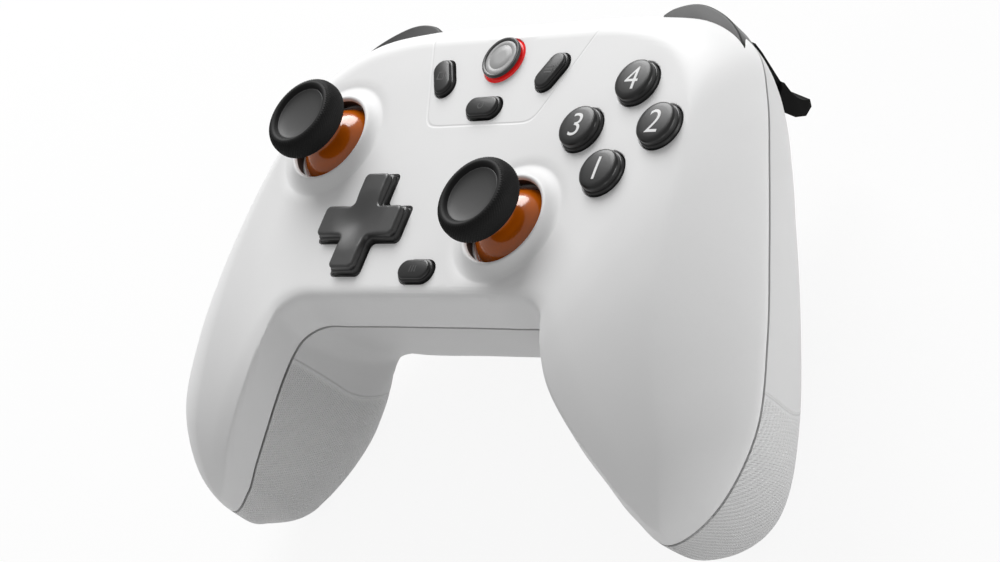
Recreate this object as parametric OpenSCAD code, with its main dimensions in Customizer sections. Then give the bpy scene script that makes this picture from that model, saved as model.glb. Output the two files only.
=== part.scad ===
// Wireless gamepad controller with two thumbsticks, a cross pad, four face buttons,
// five small buttons, two bumpers and two triggers.
// It lies on its back: +Z is out of the face, +Y is away from the player, +X is to the right.
// The row of the right stick and the cross pad is the line that all face positions count from.

/* [Body] */
// width across the two grips
body_width = 155; // [148:1:165]
// depth from the grip tips to the top edge of the shell
body_depth = 100.8; // [97:0.2:106]
// distance from the face down to the backs of the grips
body_height = 48.8; // [47:0.2:52]
// wall of both shells
wall = 2.2; // [1.8:0.1:2.6]
// slit between the two shells
seam_gap = 0.2; // [0.1:0.05:0.3]

/* [Face layout] */
// left stick, sideways from the middle
left_stick_x = 40.4; // [39:0.1:42]
// left stick, above the cross row
left_stick_y = 20.1; // [19:0.1:22]
// right stick, sideways from the middle
right_stick_x = 18.7; // [18:0.1:20]
// cross pad, sideways from the middle
cross_x = 20.1; // [19:0.1:21]
// middle of the four face buttons, sideways
cluster_x = 38.8; // [38:0.1:40]
// middle of the four face buttons, above the cross row
cluster_y = 20; // [19:0.1:21]
// from that middle to each face button
cluster_r = 9.8; // [9.5:0.1:10.6]
// home button, above the cross row
home_y = 37.1; // [36:0.1:38]
// share button, above the cross row
share_y = 26; // [24:0.1:26.5]
// mode button, below the cross row
mode_y = 10.6; // [10:0.1:11]
// view and menu buttons, sideways
menu_x = 14.8; // [14.2:0.1:15.4]
// view and menu buttons, above the cross row
menu_y = 33.5; // [33:0.1:34]
// lean of the view and menu buttons from upright
menu_lean = 28; // [15:1:40]

/* [Sticks] */
// radius of the rubber cap
cap_r = 8.7; // [8.5:0.1:9.2]
// top of the cap above the face
cap_top = 11.5; // [11:0.1:13]
// thickness of the cap
cap_h = 5.9; // [5.4:0.1:6.2]
// radius of the opening in the shell
stick_hole_r = 9; // [8.8:0.1:9.4]
// radius of the stem dome
dome_r = 9.6; // [9.2:0.1:9.8]
// pivot of the stick below the face
pivot_drop = 7; // [6.8:0.1:7.4]
// radius of the stem neck
neck_r = 3.2; // [3:0.1:3.5]
// height of the raised collar round the opening
collar_h = 1.1; // [0.6:0.1:1.3]
// width of the raised collar
collar_w = 4; // [3:0.1:4.2]
// how far the stick clicks in
stick_click = 0.5; // [0.3:0.05:0.6]

/* [Buttons] */
// radius of a face button
button_r = 4.7; // [4.4:0.1:4.9]
// top of a face button above the face
button_top = 2.4; // [1.8:0.1:2.6]
// travel of a face button
button_travel = 1.5; // [1:0.1:1.6]
// radius of the home button
home_r = 4.65; // [4.2:0.05:4.9]
// top of the home button above the face
home_top = 1.6; // [1.5:0.1:2]
// length of the four small buttons
pill_len = 8.8; // [8:0.1:9.4]
// width of the four small buttons
pill_w = 4.8; // [4.4:0.1:5.2]
// top of the small buttons above the face
pill_top = 1.5; // [1.2:0.1:1.8]
// travel of the home and the small buttons
small_travel = 0.5; // [0.3:0.05:0.6]

/* [Cross pad] */
// from the middle to the end of an arm
cross_reach = 11.1; // [10:0.1:11.4]
// width of an arm
cross_arm = 7.4; // [6.8:0.1:8]
// top of the arms above the face
cross_top = 2.4; // [2:0.1:2.8]

/* [Bumpers and triggers] */
// front edge of the bumpers, above the cross row
bumper_front = 52.4; // [52:0.1:53]
// height of a bumper
bumper_h = 5.8; // [5.4:0.1:6]
// top of a bumper below the face
bumper_drop = 6.6; // [6.4:0.1:6.8]
// inner end of a trigger, sideways
trigger_in = 33; // [32.5:0.1:33.5]
// outer end of the trigger's pivot, sideways
trigger_out = 50; // [49:0.1:50.4]
// outer end of the trigger's finger lip, sideways
trigger_lip = 51.2; // [50.6:0.1:52]
// pivot of a trigger, above the cross row
trigger_y = 40; // [39.8:0.1:40.4]
// pivot of a trigger below the face
trigger_drop = 16.6; // [16.6:0.1:17.2]
// radius of the trigger pivot pin
trigger_pin_r = 1.2; // [1:0.05:1.4]

/* [Inside] */
// top of the circuit board below the face
board_drop = 13; // [12.8:0.1:13.4]
// thickness of the circuit board
board_t = 1.6; // [1.2:0.1:1.8]
// radius of a rumble motor
motor_r = 6; // [5:0.1:6.4]
// length of a rumble motor
motor_len = 13; // [11:0.5:14]
// width of the battery pack
battery_w = 38; // [34:1:40]
// length of the battery pack
battery_len = 28; // [24:1:29]
// thickness of the battery pack
battery_t = 7; // [5:0.5:8]
// radius of a screw shank
screw_r = 1.25; // [1:0.05:1.4]

/* [Clearances] */
// gap round a part that moves
play = 0.4; // [0.35:0.05:0.5]
// gap round a part that sits still
fit = 0.15; // [0.1:0.05:0.2]

/* [Hidden] */
// seam of the right half from the middle to the grip tip, along the player's side
near_rail = [
  [0, -17.6, -9], [12, -17.6, -9], [23, -17.7, -9], [30.5, -17.9, -9], [34.9, -20.4, -8.9],
  [36.3, -24, -8.9], [37.7, -28.4, -9.9], [39.9, -33.6, -12.1], [43.9, -38.8, -16.1],
  [48.8, -43.4, -20.8], [53.4, -47.5, -25.3], [60.2, -50.3, -28.8]];
// the same seam along the far side, over the shoulder and down the grip
far_rail = [
  [0, 50.2, -8], [15, 50.3, -8], [30, 49.9, -8], [44.5, 48, -8], [56.2, 41.8, -8.6],
  [62.4, 31.5, -9.6], [67.5, 18, -10.9], [72.4, 2, -13.4], [76.4, -14.5, -16.8],
  [77.4, -30.5, -21.3], [70.8, -43.6, -26], [60.2, -50.3, -28.8]];
// level of the face at each station, measured from the flat of the face
crown = [0, 0, 0, 0, 0, -0.25, -1.2, -3.5, -7.6, -13, -18.4, -22];
// level of the back at each station
back = [-38, -38, -38, -37.4, -37.4, -39.6, -43.6, -47, -48.6, -48, -44.8, -41];
// how far the face rolls over towards the far side and towards the player
far_roll = [8, 8, 8, 10, 14, 17.5, 19.5, 20.5, 19.5, 16.5, 11, 6];
near_roll = [4, 4, 4, 4.4, 5.5, 7, 8.5, 9, 9, 8, 6, 4];
// how far the back rolls over towards the far side and towards the player
far_back_roll = [25, 25, 25, 25.5, 27, 28.5, 28.5, 26, 23.5, 20, 13, 8];
near_back_roll = [11, 11, 11, 11.5, 13, 14.5, 15, 14.5, 13, 10.5, 7, 4.5];
// how full each roll is, 2 for a quarter of a circle and less for a flatter one
far_full = 1.45;
far_back_full = 1.6;
near_back_full = 1.45;
// chamfer at the foot of the player's edge
chamfer_w = 2;
chamfer_rise = 0.78;
// stations along each half, closer together near the tip
stations = [0, 0.8, 1.6, 2.3, 2.8, 3.2, 3.6, 4, 4.4, 4.8, 5.2, 5.6, 6, 6.5, 7, 7.5, 8, 8.5, 9, 9.4,
  9.8, 10.15, 10.45, 10.7, 10.88];
cavity_stations = [0, 1.45, 2.55, 3.35, 4.1, 4.7, 5.3, 5.9, 6.6, 7.25, 8.1, 8.85, 9.5, 10.05];
tip_station = 11;
round_from = 9;
// points across the shell from one rail to the other
across = 20;
cavity_across = 12;
cavity_lap = 1;

function mix(a, b, t) = a + (b - a) * t;
function spline(a, b, c, d, t) =
  0.5 * (2 * b + (c - a) * t + (2 * a - 5 * b + 4 * c - d) * t * t
  + (3 * b - a - 3 * c + d) * t * t * t);
function along(list, before, after, u) =
  let (last = len(list) - 1, i = min(floor(u), last - 1))
  spline(i == 0 ? before : list[i - 1], list[i], list[i + 1],
    i + 2 > last ? after : list[i + 2], u - i);
function even(list, u) = along(list, list[1], list[tip_station], u);
function flip(p) = [-p[0], p[1], p[2]];

// the outline above is stretched to the chosen width, depth and height
drawn_half = max([for (u = stations) along(far_rail, far_rail[1], near_rail[tip_station - 1], u)[0]]);
drawn_tip = min([for (u = stations) along(near_rail, near_rail[1], far_rail[tip_station - 1], u)[1]]);
drawn_low = min([for (u = stations) even(back, u)]);
wide = body_width / (2 * drawn_half);
deep = body_depth / (far_rail[0][1] - drawn_tip);
high = -body_height / drawn_low;
tip_y = drawn_tip * deep;
row_y = -(bumper_front + tip_y) / 2;

function sized(p) = [p[0] * wide, p[1] * deep, p[2] * high];
function near_at(u) = sized(along(near_rail, flip(near_rail[1]), far_rail[tip_station - 1], u));
function far_at(u) = sized(along(far_rail, flip(far_rail[1]), near_rail[tip_station - 1], u));

// quarter-round edge, 0 at the seam and 1 once the roll is over
function roll(d, r, full) = d >= r ? 1 : pow(1 - pow(1 - max(d, 0) / r, full), 1 / full);
// chamfer first, then a soft roll into the face
function lip(d, r) =
  d <= 0 ? 0 :
  d < chamfer_w ? chamfer_rise * sqrt(d / chamfer_w) :
  d >= r ? 1 :
  mix(chamfer_rise, 1, sin(90 * (d - chamfer_w) / (r - chamfer_w)));
function tip_round(u) =
  u <= round_from ? 1 : sqrt(1 - pow((u - round_from) / (tip_station - round_from), 2));

// cross section at station u, from the near rail to the far rail, drawn in by the inset
function section(u, count, inset, face) =
  let (a = near_at(u), b = far_at(u), size = norm([b[0] - a[0], b[1] - a[1]]),
    short = size / 2 - inset,
    goal = face ? even(crown, u) * high - inset : even(back, u) * high + inset)
  [for (j = [0 : count])
    let (d = inset + (size - 2 * inset) * (0.5 - 0.5 * cos(180 * j / count)),
      p = mix(a, b, d / size),
      d_near = d - inset,
      d_far = size - d - inset,
      g = face
        ? roll(d_far, min(even(far_roll, u), short), far_full)
          * lip(d_near, min(even(near_roll, u), short))
        : roll(d_far, min(even(far_back_roll, u), short), far_back_full)
          * roll(d_near, min(even(near_back_roll, u), short), near_back_full))
    [p[0], p[1], p[2] + (goal - p[2]) * g * tip_round(u)]];

function shifted(p, side, dz) = [side * p[0], p[1], p[2] + dz];
function outer_ring(u, side, face) =
  [for (p = section(u, across, 0, face)) shifted(p, side, face ? seam_gap / 2 : -seam_gap / 2)];
function cavity_ring(u, side, face) =
  let (s = section(u, cavity_across, wall, face), lap = face ? -cavity_lap : cavity_lap)
  concat([shifted(s[0], side, lap)], [for (p = s) shifted(p, side, 0)],
    [shifted(s[cavity_across], side, lap)]);

// solid through a row of rings, ending in a point at each tip or in a flat cap
module skinned(rings, tips, face) {
  n = len(rings[0]);
  rows = len(rings);
  first = rows * n;
  final = first - n;
  sides = [for (k = [0 : rows - 2]) for (j = [0 : n - 1])
    let (a = k * n + j, b = k * n + (j + 1) % n, c = b + n, d = a + n)
    each [[a, b, c], [a, c, d]]];
  ends = len(tips) > 0
    ? [for (j = [0 : n - 1]) let (k = (j + 1) % n)
        each [[first, k, j], [first + 1, final + j, final + k]]]
    : [for (j = [1 : n - 2]) each [[0, j + 1, j], [final, final + j, final + j + 1]]];
  faces = concat(sides, ends);
  polyhedron(concat([for (ring = rings) each ring], tips),
    face ? faces : [for (f = faces) [f[0], f[2], f[1]]], convexity = 8);
}

function both(list) = [for (k = [1 - len(list) : len(list) - 1]) [list[abs(k)], k < 0 ? -1 : 1]];

module outer(face) {
  tip = near_at(tip_station);
  dz = face ? seam_gap / 2 : -seam_gap / 2;
  skinned([for (s = both(stations)) outer_ring(s[0], s[1], face)],
    [shifted(tip, -1, dz), shifted(tip, 1, dz)], face);
}

module cavity(face)
  skinned([for (s = both(cavity_stations)) cavity_ring(s[0], s[1], face)], [], face);

// small amounts and levels that follow from the sizes above
round_fn = 48;
fine_fn = 72;
deep_cut = 60;
board_z = -board_drop;
board_low = board_z - board_t;
pivot_z = -pivot_drop;
flange_t = 1;
flange_top = -wall - play;

module at_face() translate([0, row_y, body_height + seam_gap / 2]) children();
module pair() {
  children();
  mirror([1, 0, 0]) children();
}
module rod(r, z0, z1, fn = round_fn) translate([0, 0, z0]) cylinder(r = r, h = z1 - z0, $fn = fn);
module rod_x(r, x0, x1)
  translate([x0, 0, 0])
    rotate([0, 90, 0]) cylinder(r = r, h = x1 - x0, $fn = round_fn);
module rod_y(r, y0, y1)
  translate([0, y0, 0])
    rotate([-90, 0, 0]) cylinder(r = r, h = y1 - y0, $fn = round_fn);
module block(x, y, z0, z1) translate([-x / 2, -y / 2, z0]) cube([x, y, z1 - z0]);

// the controls are stretched with the body
function spread(x, y) = [x * wide, y * deep];
left_stick = spread(-left_stick_x, left_stick_y);
right_stick = spread(right_stick_x, 0);
cross_at = spread(-cross_x, 0);
cluster = spread(cluster_x, cluster_y);
// the face buttons, numbered from the player's side and round to the left
button_at = [
  cluster + [0, -cluster_r],
  cluster + [cluster_r, 0],
  cluster + [-cluster_r, 0],
  cluster + [0, cluster_r]];
home_at = spread(0, home_y);
// each small button: place, and turn of its long side
view_at = spread(-menu_x, menu_y);
menu_at = spread(menu_x, menu_y);
share_at = spread(0, share_y);
mode_at = spread(0, -mode_y);
view_turn = 90 + menu_lean;
menu_turn = 90 - menu_lean;

// screws hold the board to the face shell and the two grips together
board_screw = spread(23.5, 31);
grip_screw = spread(59, -37.5);
post_r = 3.2;
boss_r = 3.9;
head_r = 2.6;
head_h = 1.6;
board_seat = -21;
grip_split = -25;
grip_seat = -31;
screw_bite = 6;

// raised collar with a hollow outer flank, round a stick opening
module collar() {
  steps = 8;
  foot_r = stick_hole_r + collar_w;
  rim_r = stick_hole_r + collar_w / 4;
  flank = [for (i = [0 : steps])
    [mix(rim_r, foot_r, i / steps), collar_h * pow(1 - i / steps, 2)]];
  rotate_extrude($fn = fine_fn)
    polygon(concat([[stick_hole_r - fit, -wall / 2], [stick_hole_r - fit, collar_h * 0.6],
      [mix(stick_hole_r, rim_r, 0.5), collar_h]], flank, [[foot_r, -wall / 2]]));
}

module cross_shape(reach, arm) {
  square([2 * reach, arm], center = true);
  square([arm, 2 * reach], center = true);
}

// long rounded button outline
module pill_shape(grow) {
  bar = pill_len - pill_w;
  square([bar, pill_w + 2 * grow], center = true);
  for (s = [-1, 1])
    translate([s * bar / 2, 0]) circle(r = pill_w / 2 + grow, $fn = round_fn);
}

module at_pills() {
  translate(view_at) rotate(view_turn) children();
  translate(menu_at) rotate(menu_turn) children();
  translate(share_at) children();
  translate(mode_at) children();
}

// plan of the right bumper: outer edge first, then back along the inner edge
bumper_low = -bumper_drop - bumper_h;
bumper_peak = [37, 53];
bumper_edge = [
  [30.5, 50.9], [32.8, 52.3], bumper_peak, [41.2, 52.3], [46.8, 49.6], [51.4, 45.9], [54.8, 41.6]];
bumper_back = [[53.4, 40.4], [48, 42.4], [40, 43.4], [34, 43.2], [30.5, 42.4]];
bumper_steps = 4;
bumper_post_r = 1.2;
bumper_swing = 2;
bumper_curve = [for (i = [0 : (len(bumper_edge) - 1) * bumper_steps])
  along(bumper_edge, bumper_edge[0], bumper_edge[len(bumper_edge) - 1], i / bumper_steps)];
module bumper_plan()
  translate([0, bumper_front - bumper_peak[1]]) polygon(concat(bumper_curve, bumper_back));

// the slot also clears the way that the bumper takes inwards
swing_w = 0.1;
module bumper_slot()
  translate([0, 0, bumper_low - play])
    linear_extrude(bumper_h + 2 * play)
      offset(delta = play)
        minkowski() {
          bumper_plan();
          translate([-swing_w / 2, -bumper_swing]) square([swing_w, bumper_swing]);
        }

// side view of a trigger, counted from its pivot: finger side first, then the inner side
trigger_z = -trigger_drop;
trigger_hub_r = 3.4;
finger_side = [
  [9.4, 3.2], [9, 0.4], [8.1, -3.4], [7.2, -7.2], [6.9, -10.4], [7.5, -13], [8.6, -14.6]];
inner_side = [[7.7, -15.7], [5.4, -15.2], [3.6, -12.6], [2.4, -8.4], [1.8, -3]];
finger_steps = 4;
finger_curve = [for (i = [0 : (len(finger_side) - 1) * finger_steps])
  along(finger_side, finger_side[0], finger_side[len(finger_side) - 1], i / finger_steps)];
// the finger follows the shoulder, turned in plan about the middle of the trigger
trigger_turn = -20;
trigger_mid = (trigger_in + trigger_out) / 2;
// plates on both sides of a trigger that hold its pin, the inner one also the bumper's pivot
lug_t = 1.8;
lug_top = bumper_low - play;
lug_low = trigger_z - trigger_hub_r - 1.6;
lug_depth = 6;
// room that the finger lip needs under the outer plate when the trigger is pulled
lip_gap = 1.6;
bumper_pivot = [trigger_in - play - lug_t / 2, 45.6];

// lays a side view across the object, from x0 to x1
module crosswise(x0, x1)
  translate([x0, 0, 0]) rotate([90, 0, 90]) linear_extrude(x1 - x0) children();

// room for the trigger through its whole travel
module trigger_bay() {
  room = trigger_hub_r + play;
  headroom = room + play;
  translate([0, trigger_y, trigger_z]) {
    crosswise(trigger_in - play, trigger_out + play)
      polygon([[-room, headroom], [deep_cut, headroom], [deep_cut, -deep_cut], [-room, -deep_cut]]);
    crosswise(trigger_in - play, trigger_lip + play)
      polygon([[-room, -deep_cut], [-room, lug_low - trigger_z], [deep_cut, lug_low - trigger_z],
        [deep_cut, -deep_cut]]);
  }
}

module lugs() {
  translate([trigger_in - play - lug_t, trigger_y - trigger_hub_r, lug_low])
    cube([lug_t, bumper_front - trigger_y, lug_top - lug_low]);
  translate([trigger_out + play, trigger_y - trigger_hub_r, lug_low])
    cube([lug_t, lug_depth, lug_top - lug_low]);
}

// rumble motors lie along the grips
motor_at = spread(57.5, -20);
motor_z = -28;
cradle_t = 2;
cradle_w = 2 * motor_r + 2;
weight_r = 5;
weight_t = 4;
shaft_r = 0.9;

// battery pack rests on two bars over the back
battery_y = 10.5 * deep;
rest_h = 2.4;
rest_w = 2;
battery_low = back[0] * high + wall + rest_h;

// charging socket stands on the board at the far edge
socket_w = 8.9;
socket_h = 3.2;
socket_len = 7.4;
socket_wall = 0.35;
tongue_w = 6.6;
tongue_t = 0.7;
socket_front = far_rail[0][1] * deep - 0.6;
module slot_shape(w, h) {
  square([w - h, h], center = true);
  for (s = [-1, 1])
    translate([s * (w - h) / 2, 0]) circle(d = h, $fn = round_fn);
}
module along_y(y0, y1)
  translate([0, y1, board_z + socket_h / 2])
    rotate([90, 0, 0]) linear_extrude(y1 - y0) children();

module front_shell() color("white") at_face() {
  difference() {
    union() {
      difference() {
        outer(true);
        cavity(true);
      }
      translate(left_stick) collar();
      translate(right_stick) collar();
      pair() {
        translate(board_screw) rod(post_r, board_z, -wall / 2);
        translate(grip_screw) rod(post_r, grip_split, grip_split + screw_bite);
        intersection() {
          translate([0, 0, -wall / 2]) outer(true);
          translate(grip_screw) rod(post_r, grip_split, 0);
        }
      }
    }
    for (p = [left_stick, right_stick])
      translate(p) rod(stick_hole_r, -deep_cut, deep_cut, fine_fn);
    for (p = button_at)
      translate(p) rod(button_r + play, -2 * wall, deep_cut);
    translate(home_at) rod(home_r + ring_w + fit, -2 * wall, deep_cut);
    translate([cross_at[0], 0, -2 * wall])
      linear_extrude(deep_cut) cross_shape(cross_reach + cross_gap, cross_arm + 2 * cross_gap);
    translate([0, 0, -2 * wall])
      linear_extrude(deep_cut) at_pills() pill_shape(play);
    pair() {
      bumper_slot();
      translate(board_screw) rod(screw_r + fit, board_z - fit, board_z + screw_bite + 1);
      translate(grip_screw) rod(screw_r + fit, grip_split - fit, grip_split + screw_bite + 1);
    }
  }
}

module rear_shell() color("gainsboro") at_face() {
  difference() {
    union() {
      difference() {
        outer(false);
        cavity(false);
        pair() trigger_bay();
        pair() bumper_slot();
      }
      intersection() {
        translate([0, 0, wall / 2]) outer(false);
        union() {
          for (s = [-1, 1])
            translate([0, battery_y + s * battery_len / 4])
              block(battery_w, rest_w, -deep_cut, battery_low);
          pair() {
            translate(board_screw) rod(boss_r, -deep_cut, board_low);
            translate(grip_screw) rod(boss_r, -deep_cut, grip_split);
            lugs();
            difference() {
              for (s = [-1, 1])
                translate(motor_at + [0, s * motor_len / 4])
                  block(cradle_w, cradle_t, -deep_cut, motor_z);
              translate([motor_at[0], motor_at[1], motor_z])
                rod_y(motor_r + fit, -motor_len, motor_len);
            }
          }
        }
      }
      pair() translate(bumper_pivot) rod(bumper_post_r, lug_top - lug_t, bumper_low + bumper_h - play);
    }
    pair() {
      translate(board_screw) {
        rod(head_r + fit, -deep_cut, board_seat);
        rod(screw_r + fit, -deep_cut, 0);
      }
      translate(grip_screw) {
        rod(head_r + fit, -deep_cut, grip_seat);
        rod(screw_r + fit, -deep_cut, 0);
      }
      translate([0, trigger_y, trigger_z])
        rod_x(trigger_pin_r + fit, trigger_in - 2 * lug_t, trigger_out + 2 * lug_t);
    }
    along_y(0, deep_cut) slot_shape(socket_w + 2 * fit, socket_h + 2 * fit);
  }
}

module main_board() color("darkgreen") at_face() {
  half = [
    [-1, -13], [40, -13], [54, -6], [54, 29.5], [27.5, 29.5], [27.5, 35], [24.5, 35], [24.5, 41], [-1, 41]];
  translate([0, 0, board_low])
    linear_extrude(board_t)
      difference() {
        pair() polygon([for (p = half) spread(p[0], p[1])]);
        pair() translate(board_screw) circle(r = screw_r + fit, $fn = round_fn);
      }
}

// thumbstick: a fork on the board, a yoke that tips to and fro in it,
// and a shaft that tips sideways on the yoke
fork_in = 4.2;
fork_t = 1.6;
fork_w = 4;
base_w = 12;
base_t = 1.2;
yoke_r = 0.9;
yoke_hub = 1.7;
ear_in = 2.2;
ear_t = 1.3;
ear_w = 3.2;
stick_shaft_r = 1.6;
dome_t = 1;
neck_top = cap_top - cap_h + 3;
shaft_top = neck_top - 1.2 - stick_click;

module stick_base() {
  block(base_w, base_w, board_z, board_z + base_t);
  difference() {
    for (s = [-1, 1])
      translate([s * (fork_in + fork_t / 2), 0])
        block(fork_t, fork_w, board_z, pivot_z + fork_w / 2);
    translate([0, 0, pivot_z]) rod_x(yoke_r + play / 2, -base_w, base_w);
  }
}

module stick_yoke() translate([0, 0, pivot_z]) {
  reach_x = fork_in + fork_t;
  reach_y = ear_in + ear_t;
  rod_x(yoke_r, -reach_x, reach_x);
  rod_y(yoke_r, -reach_y, reach_y);
  block(2 * yoke_hub, 2 * yoke_hub, -yoke_hub, yoke_hub);
}

module stick_shaft() {
  bridge = yoke_hub + 2 * play;
  difference() {
    for (s = [-1, 1])
      translate([0, s * (ear_in + ear_t / 2)])
        block(ear_w, ear_t, pivot_z - ear_w / 2, pivot_z + bridge + ear_t);
    translate([0, 0, pivot_z]) rod_y(yoke_r + play / 2, -base_w, base_w);
  }
  block(ear_w, 2 * ear_in + ear_t, pivot_z + bridge, pivot_z + bridge + ear_t);
  rod(stick_shaft_r, pivot_z + bridge, shaft_top);
}

// round cover that fills the opening, with the neck that carries the cap
module stick_stem() {
  difference() {
    union() {
      difference() {
        translate([0, 0, pivot_z]) sphere(r = dome_r, $fn = fine_fn);
        translate([0, 0, pivot_z]) block(3 * dome_r, 3 * dome_r, -2 * dome_r, 0);
      }
      rod(neck_r, pivot_z + dome_r - dome_t, neck_top);
    }
    translate([0, 0, pivot_z]) sphere(r = dome_r - dome_t, $fn = fine_fn);
    rod(stick_shaft_r + play, pivot_z, shaft_top + stick_click + play);
  }
}

// rubber cap with a dished top and a rounded rim
module stick_cap() {
  low = cap_top - cap_h;
  rim = cap_h * 0.56;
  dish = 1.4;
  rotate_extrude($fn = fine_fn)
    polygon([[0, neck_top], [neck_r, neck_top], [neck_r, low],
      [cap_r * 0.72, low], [cap_r * 0.86, low + 0.5],
      [cap_r * 0.96, low + rim * 0.55], [cap_r, low + rim], [cap_r * 0.985, cap_top - 1.1],
      [cap_r * 0.93, cap_top - 0.35], [cap_r * 0.85, cap_top], [cap_r * 0.78, cap_top - 0.15],
      [cap_r * 0.7, cap_top - 0.8], [cap_r * 0.5, cap_top - dish], [0, cap_top - dish - 0.1]]);
}

module left_stick_base() color("silver") at_face() translate(left_stick) stick_base();
module right_stick_base() color("silver") at_face() translate(right_stick) stick_base();
module left_yoke() color("dimgray") at_face() translate(left_stick) stick_yoke();
module right_yoke() color("dimgray") at_face() translate(right_stick) stick_yoke();
module left_shaft() color("gray") at_face() translate(left_stick) stick_shaft();
module right_shaft() color("gray") at_face() translate(right_stick) stick_shaft();
module left_stem() color("orangered") at_face() translate(left_stick) stick_stem();
module right_stem() color("orangered") at_face() translate(right_stick) stick_stem();
module left_cap() color("black") at_face() translate(left_stick) stick_cap();
module right_cap() color("black") at_face() translate(right_stick) stick_cap();

// cross pad on a small two-way pivot
cross_gap = play + 0.2;
cross_pivot_z = -3;
cross_flange = 0.9;
cross_flange_top = -wall - 2.4;
cross_pin_r = 0.7;
pocket_r = 3.5;
prong_in = 1.3;
prong_t = 1;
prong_w = 2.6;
nub_at = 8;
nub_r = 1.5;
nub_low = cross_flange_top - flange_t - 1.8;

module cross_pad() color("black") at_face() translate(cross_at) {
  step = 0.8;
  difference() {
    union() {
      translate([0, 0, cross_flange_top - flange_t])
        linear_extrude(flange_t) cross_shape(cross_reach + cross_flange, cross_arm + 2 * cross_flange);
      translate([0, 0, cross_flange_top])
        linear_extrude(-cross_flange_top + cross_top / 2) cross_shape(cross_reach, cross_arm);
      linear_extrude(cross_top) cross_shape(cross_reach - step / 2, cross_arm - step);
      for (a = [0 : 90 : 270])
        rotate(a) translate([nub_at, 0]) rod(nub_r, nub_low, cross_flange_top);
    }
    rod(pocket_r, -deep_cut, cross_pivot_z + pocket_r * 0.6);
    translate([0, 0, cross_pivot_z]) rod_y(cross_pin_r + play / 2, -pocket_r - 1.6, pocket_r + 1.6);
    translate([0, 0, 12 + cross_top - 0.7]) sphere(r = 12, $fn = fine_fn);
  }
}

module cross_pivot() color("silver") at_face() translate([cross_at[0], 0, cross_pivot_z]) {
  rod_x(cross_pin_r, -prong_in - prong_t, prong_in + prong_t);
  rod_y(cross_pin_r, -pocket_r - 1.2, pocket_r + 1.2);
}

module cross_base() color("silver") at_face() translate(cross_at) {
  foot = board_z + 1.4;
  rod(pocket_r - 0.6, board_z, foot);
  difference() {
    for (s = [-1, 1])
      translate([s * (prong_in + prong_t / 2), 0])
        block(prong_t, prong_w, foot, cross_pivot_z + prong_w / 2);
    translate([0, 0, cross_pivot_z]) rod_x(cross_pin_r + play / 2, -pocket_r, pocket_r);
  }
}

// rubber mats with a dome under each button
mat_t = 0.8;
mat_top = board_z + mat_t;
button_skirt_low = -7;
button_flange_top = flange_top - 0.9;
module dome(top, r)
  translate([0, 0, board_z]) cylinder(r1 = r, r2 = r * 0.7, h = top - board_z, $fn = round_fn);

module button_mat() color("gray") at_face() {
  translate(cluster) rod(cluster_r, board_z, mat_top);
  for (p = button_at)
    translate(p) {
      rod(button_r, board_z, mat_top);
      dome(button_skirt_low - button_travel - play, button_r * 0.75);
    }
}

module cross_mat() color("gray") at_face() translate(cross_at) {
  difference() {
    rod(nub_at + 2.6, board_z, mat_top);
    rod(pocket_r, -deep_cut, deep_cut);
  }
  for (a = [0 : 90 : 270])
    rotate(a) translate([nub_at, 0]) dome(nub_low - 1 - play, 2.2);
}

// face button: domed cap, stepped rim, flange under the shell and a skirt down to the mat
module face_button() {
  edge = 0.9;
  rim_h = button_top * 0.3;
  rotate_extrude($fn = round_fn)
    polygon([[0, button_skirt_low], [button_r * 0.7, button_skirt_low],
      [button_r * 0.7, button_flange_top - flange_t], [button_r + edge, button_flange_top - flange_t],
      [button_r + edge, button_flange_top], [button_r, button_flange_top],
      [button_r, rim_h], [button_r - 0.2, rim_h], [button_r - 0.22, button_top * 0.62],
      [button_r * 0.86, button_top * 0.86], [button_r * 0.6, button_top * 0.97], [0, button_top]]);
}
module button_1() color("black") at_face() translate(button_at[0]) face_button();
module button_2() color("black") at_face() translate(button_at[1]) face_button();
module button_3() color("black") at_face() translate(button_at[2]) face_button();
module button_4() color("black") at_face() translate(button_at[3]) face_button();

// home button over a ring that lets light through
ring_w = 0.5;
ring_top = home_top - small_travel - 0.8;
ring_foot = -wall - 1.2;
stem_r = home_r * 0.6;
stem_low = -8.1;
switch_top = stem_low - small_travel - play;
module home_light_ring() color("red") at_face() translate(home_at)
  rotate_extrude($fn = round_fn)
    polygon([[stem_r + play, ring_foot], [home_r + ring_w, ring_foot], [home_r + ring_w, ring_top - 0.15],
      [home_r + ring_w - 0.2, ring_top], [stem_r + play, ring_top]]);

module home_button() color("dimgray") at_face() translate(home_at)
  rotate_extrude($fn = round_fn)
    polygon([[0, stem_low], [stem_r, stem_low], [stem_r, ring_top + small_travel + play],
      [home_r, ring_top + small_travel + play], [home_r, home_top - 0.2], [home_r - 0.25, home_top],
      [home_r * 0.84, home_top], [home_r * 0.8, home_top - 0.25], [0, home_top - 0.2]]);

// small button: stepped rim, two ears under the shell, and a tail down to its switch
module pill() {
  tail_r = 1.5;
  ear_reach = 0.8;
  ear_depth = 2.4;
  ears_top = flange_top - 0.7;
  edge = 0.3;
  translate([0, 0, ears_top]) linear_extrude(pill_top * 0.6 - ears_top) pill_shape(0);
  translate([0, 0, ears_top]) linear_extrude(pill_top - ears_top) pill_shape(-edge);
  block(pill_len + 2 * ear_reach, ear_depth, ears_top - flange_t, ears_top);
  rod(tail_r, stem_low, ears_top);
}
module view_button() color("black") at_face() translate(view_at) rotate(view_turn) pill();
module menu_button() color("black") at_face() translate(menu_at) rotate(menu_turn) pill();
module share_button() color("black") at_face() translate(share_at) pill();
module mode_button() color("black") at_face() translate(mode_at) pill();

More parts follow.
